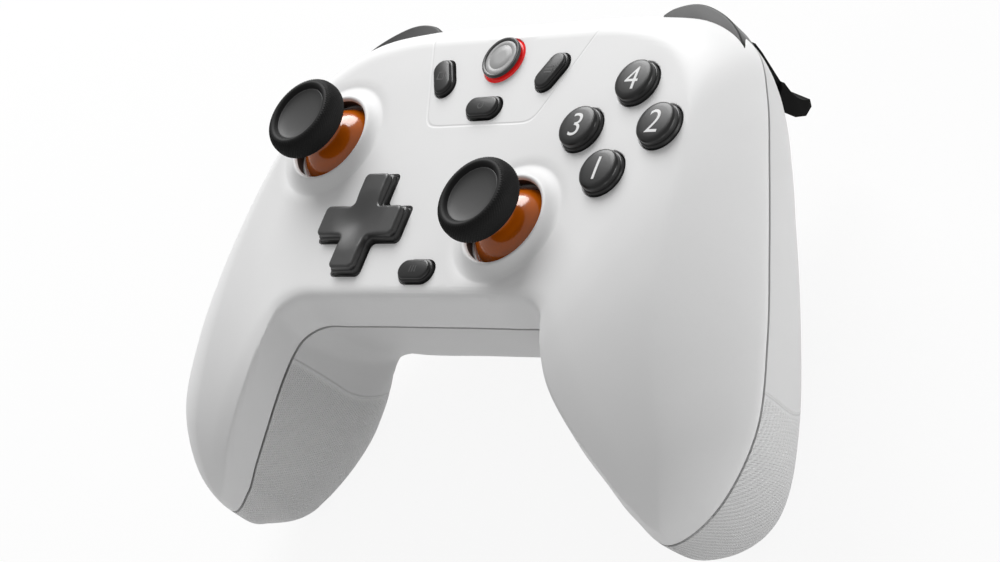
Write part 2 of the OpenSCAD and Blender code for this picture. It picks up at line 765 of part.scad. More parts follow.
// click switches under the home and the small buttons
module click_switches() color("silver") at_face() {
  body_w = 4.2;
  for (p = [home_at, view_at, menu_at, share_at, mode_at])
    translate(p) {
      block(body_w, body_w, board_z, switch_top - 0.8);
      rod(body_w / 4, board_z, switch_top);
    }
}

module right_side_bumper() difference() {
  translate([0, 0, bumper_low]) linear_extrude(bumper_h) bumper_plan();
  translate(bumper_pivot) rod(bumper_post_r + play, -deep_cut, deep_cut);
}
module right_bumper() color("dimgray") at_face() right_side_bumper();
module left_bumper() color("dimgray") at_face() mirror([1, 0, 0]) right_side_bumper();

module right_side_trigger() translate([0, trigger_y, trigger_z]) difference() {
  union() {
    intersection() {
      translate([trigger_mid, 0, 0])
        rotate(trigger_turn)
          crosswise(-deep_cut / 2, deep_cut / 2)
            polygon(concat([[0, trigger_hub_r - 0.2]], finger_curve, inner_side));
      union() {
        crosswise(trigger_in, trigger_out) translate([0, -deep_cut / 2]) square(deep_cut);
        crosswise(trigger_in, trigger_lip)
          translate([-deep_cut / 2, lug_low - trigger_z - lip_gap - deep_cut]) square(deep_cut);
      }
    }
    rod_x(trigger_hub_r, trigger_in, trigger_out);
  }
  rod_x(trigger_pin_r + play, 0, deep_cut);
}
module right_trigger() color("black") at_face() right_side_trigger();
module left_trigger() color("black") at_face() mirror([1, 0, 0]) right_side_trigger();

module trigger_pins() color("silver") at_face() pair()
  translate([0, trigger_y, trigger_z])
    rod_x(trigger_pin_r, trigger_in - play - lug_t, trigger_out + play + lug_t);

module motor() {
  front = motor_len / 2;
  translate([motor_at[0], motor_at[1], motor_z]) difference() {
    rod_y(motor_r, -front, front);
    rod_y(shaft_r + play, front - 4, front + 1);
  }
}
module right_motor() color("silver") at_face() motor();
module left_motor() color("silver") at_face() mirror([1, 0, 0]) motor();

// off-centre weight on the motor shaft
module weight() {
  front = motor_len / 2;
  translate([motor_at[0], motor_at[1], motor_z]) {
    rod_y(shaft_r, front - 3.5, front + 1 + weight_t);
    difference() {
      rod_y(weight_r, front + 1, front + 1 + weight_t);
      translate([0, front, 0]) block(3 * weight_r, 3 * weight_t, shaft_r, 3 * weight_r);
    }
  }
}
module right_weight() color("goldenrod") at_face() weight();
module left_weight() color("goldenrod") at_face() mirror([1, 0, 0]) weight();

module battery() color("slategray") at_face()
  translate([0, battery_y]) block(battery_w, battery_len, battery_low, battery_low + battery_t);

module charge_socket() color("silver") at_face() {
  difference() {
    along_y(socket_front - socket_len, socket_front) slot_shape(socket_w, socket_h);
    along_y(socket_front - socket_len + 1, deep_cut)
      slot_shape(socket_w - 2 * socket_wall, socket_h - 2 * socket_wall);
  }
  along_y(socket_front - socket_len + 0.5, socket_front - 1) square([tongue_w, tongue_t], center = true);
}

module shell_screws() color("gray") at_face() pair() {
  translate(board_screw) {
    rod(head_r, board_seat - head_h, board_seat);
    rod(screw_r, board_seat - head_h, board_z + screw_bite);
  }
  translate(grip_screw) {
    rod(head_r, grip_seat - head_h, grip_seat);
    rod(screw_r, grip_seat - head_h, grip_split + screw_bite);
  }
}

front_shell();
rear_shell();
main_board();
left_stick_base();
right_stick_base();
left_yoke();
right_yoke();
left_shaft();
right_shaft();
left_stem();
right_stem();
left_cap();
right_cap();
cross_pad();
cross_pivot();
cross_base();
button_mat();
cross_mat();
button_1();
button_2();
button_3();
button_4();
home_button();
home_light_ring();
view_button();
menu_button();
share_button();
mode_button();
click_switches();
right_bumper();
left_bumper();
right_trigger();
left_trigger();
trigger_pins();
right_motor();
left_motor();
right_weight();
left_weight();
battery();
charge_socket();
shell_screws();
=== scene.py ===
# %% [markdown]
# # A gamepad controller
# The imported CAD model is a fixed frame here: every piece sits where the frame says, in metres.
# The lesson dresses it for looks: smooth moulded shells, rubber caps, glossy buttons and their finishes.
# Whatever moves in the frame keeps moving, because each new piece rides on the body that it belongs to.

# %% Load the frame
import math

import bmesh
import bpy
from mathutils import Matrix, Vector


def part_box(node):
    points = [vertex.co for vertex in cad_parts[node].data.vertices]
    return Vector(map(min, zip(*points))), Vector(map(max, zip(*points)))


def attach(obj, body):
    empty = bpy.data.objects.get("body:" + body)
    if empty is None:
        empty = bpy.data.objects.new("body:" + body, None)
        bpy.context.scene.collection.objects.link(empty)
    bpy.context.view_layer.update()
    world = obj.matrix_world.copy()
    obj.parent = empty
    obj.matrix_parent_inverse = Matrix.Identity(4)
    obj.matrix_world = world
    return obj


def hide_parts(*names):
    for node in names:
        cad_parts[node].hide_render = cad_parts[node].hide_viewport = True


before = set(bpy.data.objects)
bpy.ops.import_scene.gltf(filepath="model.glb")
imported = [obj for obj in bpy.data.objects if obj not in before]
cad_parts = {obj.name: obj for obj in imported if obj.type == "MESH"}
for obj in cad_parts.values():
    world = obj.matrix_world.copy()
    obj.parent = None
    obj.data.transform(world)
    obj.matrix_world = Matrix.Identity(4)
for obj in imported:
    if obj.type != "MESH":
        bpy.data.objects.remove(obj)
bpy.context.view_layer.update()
scene = bpy.context.scene
scene.view_settings.view_transform = "Standard"

# %% [markdown]
# A controller is easiest to think of in millimetres, counted from one point of its face.
# That point is on the centre line, in the row of the right stick and the cross pad, on the flat of the face.
# The frame gives it: the right cap is centred on the row, and its top stands a known height over the face.

# %% The face point and the places of the controls
MM = 0.001
CAP_TOP = 11.5


def corners(node):
    low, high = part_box(node)
    return low / MM, high / MM


def spot(node):
    low, high = corners(node)
    return ((low + high) / 2 - face).to_2d()


face = Vector((0, sum(c.y for c in corners("right_cap")) / 2, corners("right_cap")[1].z - CAP_TOP))
left_stick, right_stick, cross_spot = spot("left_cap"), spot("right_cap"), spot("cross_pad")
print("face point in mm", [round(x, 2) for x in face], "left stick", [round(x, 2) for x in left_stick])

# %% [markdown]
# The camera stands to the right and above, and the picture is rolled so that the far edge is at the top.
# Three numbers fix its place and two directions fix its turn; a long lens keeps the perspective mild.

# %% Camera
eye = Vector((443.05, -224.68, 417.71)) * MM
looks_along = Vector((-0.70289, 0.35355, -0.61722))
picture_up = Vector((-0.00105, 0.86721, 0.49794))
camera_data = bpy.data.cameras.new("camera")
camera_data.sensor_width = 36
camera_data.lens = 116.07
camera_data.clip_start = 0.01
camera = bpy.data.objects.new("camera", camera_data)
scene.collection.objects.link(camera)
turn = Matrix((looks_along.cross(picture_up), picture_up, -looks_along)).transposed()
camera.matrix_world = Matrix.Translation(eye) @ turn.to_4x4()
scene.camera = camera
print("camera at", [round(x, 3) for x in eye])

# %% [markdown]
# The object lies on its back on a plain pale floor. A matt floor alone comes out grey, and more light would bleach
# the object, so the camera and the reflections see mostly a white glow. The share of matt floor that is left keeps
# a soft shadow.

# %% Floor
FLOOR_GLOW = 0.9

floor_data = bpy.data.meshes.new("floor")
sheet = bmesh.new()
bmesh.ops.create_grid(sheet, x_segments=2, y_segments=2, size=4)
sheet.to_mesh(floor_data)
sheet.free()
floor = bpy.data.objects.new("floor", floor_data)
scene.collection.objects.link(floor)

pale = bpy.data.materials.new("floor_pale")
pale.use_nodes = True
nodes, links = pale.node_tree.nodes, pale.node_tree.links
nodes["Principled BSDF"].inputs["Base Color"].default_value = (0.86, 0.86, 0.86, 1)
nodes["Principled BSDF"].inputs["Roughness"].default_value = 0.9
glow, seen, mixed = [nodes.new(k) for k in ("ShaderNodeEmission", "ShaderNodeLightPath", "ShaderNodeMixShader")]
share = seen.outputs["Is Camera Ray"]
for ray in ("Is Glossy Ray", "Is Transmission Ray"):
    either = nodes.new("ShaderNodeMath")
    either.operation = "MAXIMUM"
    links.new(share, either.inputs[0])
    links.new(seen.outputs[ray], either.inputs[1])
    share = either.outputs[0]
faded = nodes.new("ShaderNodeMath")
faded.operation = "MULTIPLY"
faded.inputs[1].default_value = FLOOR_GLOW
links.new(share, faded.inputs[0])
links.new(faded.outputs[0], mixed.inputs[0])
links.new(nodes["Principled BSDF"].outputs[0], mixed.inputs[1])
glow.inputs["Strength"].default_value = 1.0
links.new(glow.outputs[0], mixed.inputs[2])
links.new(mixed.outputs[0], nodes["Material Output"].inputs[0])
floor_data.materials.append(pale)
print("floor with a glow of", FLOOR_GLOW)

# %% [markdown]
# The world is the soft light from all round. A Light Path node tells two uses of it apart: the camera sees plain
# white, and the object gets less than that, so that the shading of its pale plastic stays.

# %% World
WORLD_FILL, WORLD_SEEN = 0.42, 1.0

world = bpy.data.worlds.new("world")
scene.world = world
world.use_nodes = True
wnodes, wlinks = world.node_tree.nodes, world.node_tree.links
path, pick = wnodes.new("ShaderNodeLightPath"), wnodes.new("ShaderNodeMix")
pick.inputs["A"].default_value, pick.inputs["B"].default_value = WORLD_FILL, WORLD_SEEN
wlinks.new(path.outputs["Is Camera Ray"], pick.inputs["Factor"])
wlinks.new(pick.outputs[0], wnodes["Background"].inputs["Strength"])
wnodes["Background"].inputs["Color"].default_value = (1, 1, 1, 1)
print("world fill", WORLD_FILL)

# %% [markdown]
# A wide lamp over the far edge lights the face. It leaves the sides of the body dark, so a low strip on the right
# and a weaker one at the near right lift them. Places and sizes are in metres, and the last number is in watts.

# %% Lamps
def lamp(name, at, aim, wide, high, watts):
    data = bpy.data.lights.new(name, "AREA")
    data.shape, data.size, data.size_y, data.energy = "ELLIPSE", wide, high, watts
    obj = bpy.data.objects.new(name, data)
    obj.location = at
    obj.rotation_euler = (Vector(aim) - Vector(at)).to_track_quat("-Z", "Y").to_euler()
    scene.collection.objects.link(obj)


lamp("far_lamp", (-0.32, 0.6, 0.47), (0, 0, 0.03), 0.6, 0.6, 6.6)
lamp("right_lamp", (0.55, 0.15, 0.026), (0.05, 0, 0.026), 0.5, 0.05, 0.85)
lamp("near_lamp", (0.42, -0.5, 0.026), (-0.05, -0.02, 0.026), 0.3, 0.05, 0.22)
print(len(bpy.data.lights), "lamps")

# %% [markdown]
# Shader maths reads best as plain expressions. One small class wraps a socket, and using it with + - * /
# adds the Math nodes. It also answers from the right-hand side, so that 1 - mask works.

# %% A socket to calculate with
class Flow:
    def __init__(self, finish, socket):
        self.finish, self.socket = finish, socket

    def math(self, operation, other=0.0, third=0.0):
        return self.finish.node("ShaderNodeMath", {"operation": operation}, {0: self, 1: other, 2: third})

    def __add__(self, other):
        return self.math("ADD", other)

    def __sub__(self, other):
        return self.math("SUBTRACT", other)

    def __rsub__(self, other):
        return self.math("MULTIPLY_ADD", -1.0, other)

    def __mul__(self, other):
        return self.math("MULTIPLY", other)

    def __truediv__(self, other):
        return self.math("DIVIDE", other)

    __radd__ = __add__
    __rmul__ = __mul__

    def size(self):
        return self.math("ABSOLUTE")

    def rise(self, low, high):
        return self.finish.node(
            "ShaderNodeMapRange", {"interpolation_type": "SMOOTHSTEP"}, {0: self, 1: low, 2: high, 3: 0.0, 4: 1.0}
        )


print("sockets can be added and multiplied")

# %% [markdown]
# A second class holds one material. Its node method makes any other kind of node from its type, its settings and
# the values or links of its sockets. The methods below it are short names for nodes that come again and again.

# %% One finish
class Finish:
    def __init__(self, name, **constants):
        self.material = bpy.data.materials.new(name)
        self.material.use_nodes = True
        self.tree = self.material.node_tree
        self.shader = self.tree.nodes["Principled BSDF"]
        for socket, value in constants.items():
            self.set(socket.replace("_", " "), value)

    def feed(self, socket, value):
        if isinstance(value, Flow):
            self.tree.links.new(value.socket, socket)
        else:
            socket.default_value = value

    def set(self, socket, value):
        self.feed(self.shader.inputs[socket], value)

    def node(self, kind, settings, inputs, output=0):
        made = self.tree.nodes.new(kind)
        for key, value in settings.items():
            setattr(made, key, value)
        for key, value in inputs.items():
            self.feed(made.inputs[key], value)
        return Flow(self, made.outputs[output])

    def place(self):
        return self.node("ShaderNodeTexCoord", {}, {}, "Object")

    def split(self, vector):
        made = self.node("ShaderNodeSeparateXYZ", {}, {0: vector})
        return [Flow(self, out) for out in made.socket.node.outputs]

    def noise(self, grain_mm, detail=3.0):
        return self.node(
            "ShaderNodeTexNoise", {}, {"Vector": self.place(), "Scale": 1 / (grain_mm * MM), "Detail": detail}, 0
        )

    def blend(self, share, first, second):
        return self.node("ShaderNodeMix", {"data_type": "RGBA"}, {0: share, 6: first, 7: second}, 2)

    def bump(self, height, depth_mm, strength=1.0):
        self.set(
            "Normal",
            self.node("ShaderNodeBump", {}, {"Height": height, "Distance": depth_mm * MM, "Strength": strength}),
        )


print("finishes can be written")

# %% [markdown]
# Most pieces share one plain recipe for a moulded plastic: a colour that drifts very slightly,
# a roughness that drifts with it, and a fine grain in the surface. Each finish then adds its own detail.
# After a colour come its roughness, and the size and depth of its grain in millimetres.

# %% Moulded plastics and rubbers
def grey(value, tint=0.0):
    return (value, value, value * (1 + tint), 1)


def moulded(name, colour, rough, grain_mm=0.25, grain_depth=0.004, drift=0.06, **constants):
    finish = Finish(name, **constants)
    cloud = finish.noise(9.0, 2.0)
    darker = tuple(c * (1 - drift) for c in colour[:3]) + (1,)
    finish.set("Base Color", finish.blend(cloud, darker, colour))
    finish.set("Roughness", rough - 0.04 + cloud * 0.08)
    if grain_depth:
        finish.bump(finish.noise(grain_mm), grain_depth)
    return finish


def line_mask(line, width):
    return 1 - line.size().rise(0.0, width)


cap_rubber = moulded("cap_rubber", grey(0.006), 0.6, 0.18, 0.012, Specular_IOR_Level=0.22)
dish_rubber = moulded("dish_rubber", grey(0.038), 0.5, 0.3, 0.004, Specular_IOR_Level=0.35)
stem_orange = moulded("stem_orange", (0.58, 0.12, 0.002, 1), 0.16, 0.5, 0.0, Coat_Weight=0.5, Coat_Roughness=0.08)
button_black = moulded("button_black", grey(0.012), 0.3, 0.3, 0.002, Specular_IOR_Level=0.5)
cross_black = moulded("cross_black", grey(0.042), 0.38, 0.3, 0.003, Specular_IOR_Level=0.6)
mark_white = moulded("mark_white", grey(0.82), 0.45, 0.3, 0.002)
mark_grey = moulded("mark_grey", grey(0.05), 0.4, 0.3, 0.002)
bezel_grey = moulded("bezel_grey", grey(0.045), 0.28, 0.3, 0.002)
disc_grey = moulded("disc_grey", grey(0.36), 0.35, 0.2, 0.004)
light_red = moulded("light_red", (0.75, 0.012, 0.012, 1), 0.25, 0.4, 0.0, Emission_Color=(0.9, 0.02, 0.02, 1),
                    Emission_Strength=0.25)
bumper_grey = moulded("bumper_grey", grey(0.03), 0.34, 0.4, 0.0, Specular_IOR_Level=0.22)
trigger_black = moulded("trigger_black", grey(0.0015), 0.55, 0.25, 0.006, Specular_IOR_Level=0.06)
# Painted shade: a near-black finish for the white shell's own bore walls, standing in for the shade deep in the stick
# openings.
bore_painted_shade = moulded("bore_painted_shade", grey(0.008), 0.6, 0.3, 0.002)
print("finishes so far", len(bpy.data.materials))

# %% [markdown]
# The front shell is matte white plastic. Round the home button a shallow line marks off a panel
# whose sides lean outwards. Three straight borders joined by a smooth maximum give its rounded outline
# as one distance, and a narrow band of that distance becomes a groove in the bump.

# %% White shell finish with the panel line
PANEL_LOW, PANEL_HALF, PANEL_LEAN, PANEL_ROUND = 22.4, 14.4, 0.4, 4.0

shell_white = Finish("shell_white", Specular_IOR_Level=0.35)
x, y, z = [axis * 1000 for axis in shell_white.split(shell_white.place())]
across, up = x.size(), y - face.y
side = (across - PANEL_HALF - (up - PANEL_LOW) * PANEL_LEAN) / math.hypot(1, PANEL_LEAN)
border = side.math("SMOOTH_MAX", PANEL_LOW - up, PANEL_ROUND)
groove = line_mask(border, 0.4) * (z - face.z + 3.0).rise(0.0, 1.0) * 0.55
cloud = shell_white.noise(14.0, 2.0)
shell_white.set("Base Color", shell_white.blend(cloud, grey(0.79), grey(0.82)))
shell_white.set("Roughness", 0.4 + cloud * 0.08)
shell_white.bump(shell_white.noise(0.22) * 0.03 - groove, 0.12)
print("panel groove finish made")

# %% [markdown]
# The rear shell is the same plastic a shade greyer. Its grips carry rows of tiny dots for the fingers.
# The dots follow the surface, so they read the piece's own UV map, which holds millimetres along and across.
# Two square lattices, one shifted by half a step, make the staggered rows, and a fine raised line closes them.

# %% Rear shell finish with the dotted grips
DOT_STEP, DOT_ROW, DOT_R = 0.9, 0.6, 0.24
GRIP_TOP, LEAN_FROM, LINE_LEAN, BEND_FROM, LINE_BEND = -25.2, 9, 0.13, 26, 0.022

shell_back = Finish("shell_back", Specular_IOR_Level=0.5)
along_skin, over_skin, _ = shell_back.split(shell_back.node("ShaderNodeUVMap", {"uv_map": "skin"}, {}))


def dots(shift):
    first = ((along_skin / DOT_STEP + shift).math("FRACT") - 0.5) * DOT_STEP
    second = ((over_skin / (2 * DOT_ROW) + shift).math("FRACT") - 0.5) * (2 * DOT_ROW)
    return 1 - (first * first + second * second).math("SQRT").rise(DOT_R * 0.4, DOT_R * 1.3)


x, y, z = [axis * 1000 for axis in shell_back.split(shell_back.place())]
deep = face.z - z
bend = (deep - BEND_FROM).math("MAXIMUM", 0.0)
edge = y - (face.y + GRIP_TOP) - (deep - LEAN_FROM) * LINE_LEAN - bend * bend * LINE_BEND
on_grip = 1 - edge.rise(-1.2, -0.4)
dotted = (dots(0.0) + dots(0.5)) * on_grip
line = line_mask(edge, 0.45)
cloud = shell_back.noise(14.0, 2.0)
shell_back.set("Base Color", shell_back.blend(cloud, grey(0.66), grey(0.7)))
shell_back.set("Roughness", 0.46 + cloud * 0.08)
shell_back.bump(shell_back.noise(0.22) * 0.02 + dotted + line * 1.6, 0.13)
print("grip dots every", DOT_STEP, "mm")

# %% [markdown]
# Pieces are modelled in millimetres about the face point and only scaled to metres at the end.
# The last helper does that, smooths the faces, keeps true corners sharp, and hangs the piece on its body.
# Some operators hand back points and faces in another order each time. They are sorted before a mesh is written,
# so that a later cut starts from the same list on every run.

# %% From a mesh in progress to a finished piece
def settle(kind, key):
    rank = {part: k for k, part in enumerate(sorted(kind, key=key))}
    kind.sort(key=rank.get)
    kind.index_update()


def in_order(bm):
    settle(bm.verts, lambda v: v.co[:])
    for kind in (bm.edges, bm.faces):
        settle(kind, lambda part: sorted(v.index for v in part.verts))
    return bm


def to_object(bm, name):
    mesh = bpy.data.meshes.new(name)
    in_order(bm).to_mesh(mesh)
    bm.free()
    obj = bpy.data.objects.new(name, mesh)
    scene.collection.objects.link(obj)
    return obj


def piece(bm, name, finishes, body, stands_for=(), sharp=32):
    bmesh.ops.translate(bm, vec=face, verts=bm.verts)
    bmesh.ops.scale(bm, vec=(MM, MM, MM), verts=bm.verts)
    obj = to_object(bm, name)
    obj.data.shade_smooth()
    obj.data.set_sharp_from_angle(angle=math.radians(sharp))
    for finish in finishes:
        obj.data.materials.append(finish.material)
    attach(obj, body)
    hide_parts(*stands_for)
    print(name, "has", len(obj.data.polygons), "faces and rides", body)


# %% [markdown]
# Openings in a curved skin are cut with a Boolean modifier, because no single bmesh operator cuts a shape out of
# another. The result is read back at once, so no live modifier stays on the piece. Cutters that do not touch each
# other are gathered into one mesh first, which saves a cut for each of them.

# %% Cutting one mesh with another
def combine(bm, other, operation="DIFFERENCE"):
    body, tool = to_object(bm, "work"), to_object(other, "tool")
    modifier = body.modifiers.new("cut", "BOOLEAN")
    modifier.object, modifier.operation, modifier.solver = tool, operation, "EXACT"
    done = bpy.data.meshes.new_from_object(body.evaluated_get(bpy.context.evaluated_depsgraph_get()))
    result = bmesh.new()
    result.from_mesh(done)
    for obj in (body, tool):
        bpy.data.meshes.remove(obj.data)
    bpy.data.meshes.remove(done)
    return result


def gather(*parts):
    whole = bmesh.new()
    for part in parts:
        loose = bpy.data.meshes.new("loose")
        part.to_mesh(loose)
        part.free()
        whole.from_mesh(loose)
        bpy.data.meshes.remove(loose)
    return whole


def tidy(bm, gap=0.0005):
    bmesh.ops.remove_doubles(bm, verts=bm.verts, dist=gap)
    bmesh.ops.recalc_face_normals(bm, faces=bm.faces)
    return bm


print("cutting tools ready")

# %% [markdown]
# Round pieces are turned: half of the outline is drawn in the X-Z plane and spun about the Z axis.
# Flat outlines are drawn as one face and pulled up. These two moves make most of the small pieces.

# %% Turning and pulling
def turned(outline, at=(0, 0), steps=64):
    bm = bmesh.new()
    verts = [bm.verts.new((r, 0, h)) for r, h in outline]
    edges = [bm.edges.new(pair) for pair in zip(verts, verts[1:])]
    bmesh.ops.spin(bm, geom=verts + edges, cent=(0, 0, 0), axis=(0, 0, 1), angle=math.tau, steps=steps, use_merge=True)
    tidy(bm)
    bmesh.ops.translate(bm, vec=(at[0], at[1], 0), verts=bm.verts)
    return bm


def pulled(outline, low, high):
    bm = bmesh.new()
    base = bm.faces.new([bm.verts.new((p[0], p[1], low)) for p in outline])
    grown = bmesh.ops.extrude_face_region(bm, geom=[base])
    risen = [g for g in grown["geom"] if isinstance(g, bmesh.types.BMVert)]
    bmesh.ops.translate(bm, vec=(0, 0, high - low), verts=risen)
    return tidy(bm)


print("turning and pulling ready")

# %% [markdown]
# ## The shells
# Each shell is a skin stretched between two lines on the seam: one along the player's side and one along the
# far side. Both run from the middle to the tip of a grip. At every station the skin rises from one line, rolls
# over into the face or the back, and rolls down to the other. The same lines drive the CAD solids.
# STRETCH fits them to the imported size, and SLIM and TRIM keep the skin just inside the CAD box.

# %% The two seam lines and the levels between them
NEAR = [(0, -17.6, -9), (12, -17.6, -9), (23, -17.7, -9), (30.5, -17.9, -9), (34.9, -20.4, -8.9), (36.3, -24, -8.9),
        (37.7, -28.4, -9.9), (39.9, -33.6, -12.1), (43.9, -38.8, -16.1), (48.8, -43.4, -20.8), (53.4, -47.5, -25.3),
        (60.2, -50.3, -28.8)]
FAR = [(0, 50.2, -8), (15, 50.3, -8), (30, 49.9, -8), (44.5, 48, -8), (56.2, 41.8, -8.6), (62.4, 31.5, -9.6),
       (67.5, 18, -10.9), (72.4, 2, -13.4), (76.4, -14.5, -16.8), (77.4, -30.5, -21.3), (70.8, -43.6, -26),
       (60.2, -50.3, -28.8)]
CROWN = [0, 0, 0, 0, 0, -0.25, -1.2, -3.5, -7.6, -13, -18.4, -22]
BACK = [-38, -38, -38, -37.4, -37.4, -39.6, -43.6, -47, -48.6, -48, -44.8, -41]
FAR_ROLL = [8, 8, 8, 10, 14, 17.5, 19.5, 20.5, 19.5, 16.5, 11, 6]
NEAR_ROLL = [4, 4, 4, 4.4, 5.5, 7, 8.5, 9, 9, 8, 6, 4]
FAR_BACK_ROLL = [25, 25, 25, 25.5, 27, 28.5, 28.5, 26, 23.5, 20, 13, 8]
NEAR_BACK_ROLL = [11, 11, 11, 11.5, 13, 14.5, 15, 14.5, 13, 10.5, 7, 4.5]
FAR_FULL, FAR_BACK_FULL, NEAR_BACK_FULL = 1.45, 1.6, 1.45
STRETCH, SLIM, TRIM = Vector((0.999194, 1.00185, 1.00412)), 0.9973, 0.16
TIP, ROUND_FROM = 11, 9


def spline(a, b, c, d, t):
    return 0.5 * (2 * b + (c - a) * t + (2 * a - 5 * b + 4 * c - d) * t * t + (3 * b - a - 3 * c + d) * t * t * t)


def along(points, before, after, u):
    i = min(int(u), len(points) - 2)
    return spline(points[i - 1] if i else before, points[i], points[i + 1],
                  points[i + 2] if i + 2 < len(points) else after, u - i)


def level(values, u):
    return along(values, values[1], values[TIP], u)


near_line, far_line = [Vector(p) * STRETCH for p in NEAR], [Vector(p) * STRETCH for p in FAR]
flip = Vector((-1, 1, 1))
print("grip tip at", [round(v, 1) for v in near_line[TIP]])

# %% [markdown]
# Towards the far side the edge is a plain roll. Towards the player the face ends in a slanted band,
# a straight chamfer with a small upright land at its foot, that runs along the bridge and down both grips.

# %% Rolls and the chamfer band
BAND, BAND_RISE, LAND, LAND_RISE = 2.0, 0.92, 0.12, 0.13
SOFTEN = (-0.5, -0.25, 0, 0.25, 0.5)


def roll(d, r, full):
    return 1 if d >= r else (1 - (1 - max(d, 0) / r) ** full) ** (1 / full)


def lip(d, r):
    if d <= LAND:
        return LAND_RISE * max(d, 0) / LAND
    if d < BAND:
        return LAND_RISE + (BAND_RISE - LAND_RISE) * (d - LAND) / (BAND - LAND)
    if d >= r:
        return 1
    return BAND_RISE + (1 - BAND_RISE) * math.sin(math.pi / 2 * (d - BAND) / (r - BAND))


def soft_lip(d, r):
    return lip(d, r) if d < 1 else sum(lip(d + s * 0.5, r) for s in SOFTEN) / len(SOFTEN)


def skin_point(u, share, front, inset=0.0):
    a = along(near_line, near_line[1] * flip, far_line[TIP - 1], u)
    b = along(far_line, far_line[1] * flip, near_line[TIP - 1], u)
    size = (b - a).to_2d().length
    short = size / 2 - inset
    d = inset + (size - 2 * inset) * share
    at = a.lerp(b, d / size) if size else a
    goal = (level(CROWN, u) - inset if front else level(BACK, u) + inset + TRIM) * STRETCH.z
    from_near, from_far = d - inset, size - d - inset
    if short <= 0:
        g = 0
    elif front:
        g = (roll(from_far, min(level(FAR_ROLL, u), short), FAR_FULL)
             * soft_lip(from_near, min(level(NEAR_ROLL, u), short)))
    else:
        g = (roll(from_far, min(level(FAR_BACK_ROLL, u), short), FAR_BACK_FULL)
             * roll(from_near, min(level(NEAR_BACK_ROLL, u), short), NEAR_BACK_FULL))
    tip_round = 1 if u <= ROUND_FROM else math.sqrt(max(0, 1 - ((u - ROUND_FROM) / (TIP - ROUND_FROM)) ** 2))
    return Vector((at.x * SLIM, at.y, at.z + (goal - at.z) * g * tip_round)), at.z


print("face roll at the middle", round(roll(4, 8, FAR_FULL), 2))

# %% [markdown]
# A grid operator makes the sheet, and each of its points is moved to its place on the skin. The last few rows
# of the grid run back along the seam, so the first and last row meet and the sheet becomes a closed solid.
# The dark seam line is a real gap, and half of it belongs to each shell. Away from the seam the skin goes back to
# the smaller gap of the CAD model. Its UV map keeps millimetres along and over the skin, for the dotted grips.

# %% A closed solid under a skin
SEAM, CAD_HALF_GAP, FADE, UNDER = 0.6, 0.15, 2, 4


def half_gap(from_seam):
    return SEAM / 2 - (SEAM / 2 - CAD_HALF_GAP) * min(1, from_seam / FADE)


def lay_out(bm, skin_uv, grid, columns, rows):
    place = {}
    for column in range(-columns, columns + 1):
        run = 0.0
        for row in range(rows + UNDER + 1):
            if row:
                run += (grid[column, row].co - grid[column, row - 1].co).length
            place[grid[column, row]] = (column, run)
    reached, run = {0: 0.0}, 0.0
    for column in range(columns):
        run += (grid[column + 1, rows // 2].co - grid[column, rows // 2].co).length
        reached[column + 1], reached[-column - 1] = run, -run
    for bm_face in bm.faces:
        for loop in bm_face.loops:
            column, over = place[loop.vert]
            loop[skin_uv].uv = (reached[column], over)


def loft(front, columns, rows, inset=0.0, reach=TIP, lap=0.0):
    bm = bmesh.new()
    skin_uv = bm.loops.layers.uv.new("skin")
    bmesh.ops.create_grid(bm, x_segments=2 * columns, y_segments=rows + UNDER, size=1)
    side, grid = 1 if front else -1, {}
    for vert in bm.verts:
        column, row = round(vert.co.x * columns), round((vert.co.y + 1) / 2 * (rows + UNDER))
        hand = 1 if column >= 0 else -1
        u = reach * math.sin(abs(column) / columns * math.pi / 2)
        if row <= rows:
            at, seam = skin_point(u, 0.5 - 0.5 * math.cos(math.pi * row / rows), front, inset)
        else:
            at, seam = skin_point(u, 1 - (row - rows) / UNDER, front, inset)
            at.z = seam
        past_seam = lap and not 0 < row < rows
        lift = SEAM / 2 - lap if past_seam else half_gap(abs(at.z - seam))
        vert.co = (hand * at.x, at.y, at.z + side * lift)
        grid[column, row] = vert
    lay_out(bm, skin_uv, grid, columns, rows)
    tidy(bm, 0.002)
    rims = [e for e in bm.edges if e.is_boundary]
    if rims:
        bmesh.ops.holes_fill(bm, edges=rims)
        bmesh.ops.recalc_face_normals(bm, faces=bm.faces)
    return bm


trial = loft(True, 20, 16)
print("trial skin", len(trial.faces), "faces, open edges", sum(e.is_boundary for e in trial.edges))
trial.free()

# %% [markdown]
# ### Openings in the face
# The stick openings have raised collars with a slanted outer flank that ends in a shallow dip. The mesh is made
# finer round each stick, and its points are lifted by the collar's profile. A separate ring would show a line at
# its foot, while this way collar and face stay one moulded surface, as on the real shell.

# %% Stick collars
HOLE_R, COLLAR_H, COLLAR_TOP, COLLAR_FOOT, FLANK = 9.0, 1.35, 9.9, 12.9, 1.8
RIM_IN, RIM_WIDE, RIM_DROP, DIP, DIP_END = 9.5, 0.5, 0.55, 0.2, 15.2
FACE_DEPTH, RING_IN, RING_OUT = -6, 7, 16
SMOOTH = (-0.16, -0.08, 0, 0.08, 0.16)


def collar_profile(r):
    if r >= COLLAR_FOOT:
        return -DIP * max(0, 1 - (r - COLLAR_FOOT) / (DIP_END - COLLAR_FOOT)) ** 2
    if r >= COLLAR_TOP:
        return (COLLAR_H + DIP) * (1 - (r - COLLAR_TOP) / (COLLAR_FOOT - COLLAR_TOP)) ** FLANK - DIP
    return COLLAR_H - RIM_DROP * min(2, max(0, (RIM_IN - r) / RIM_WIDE)) ** 2


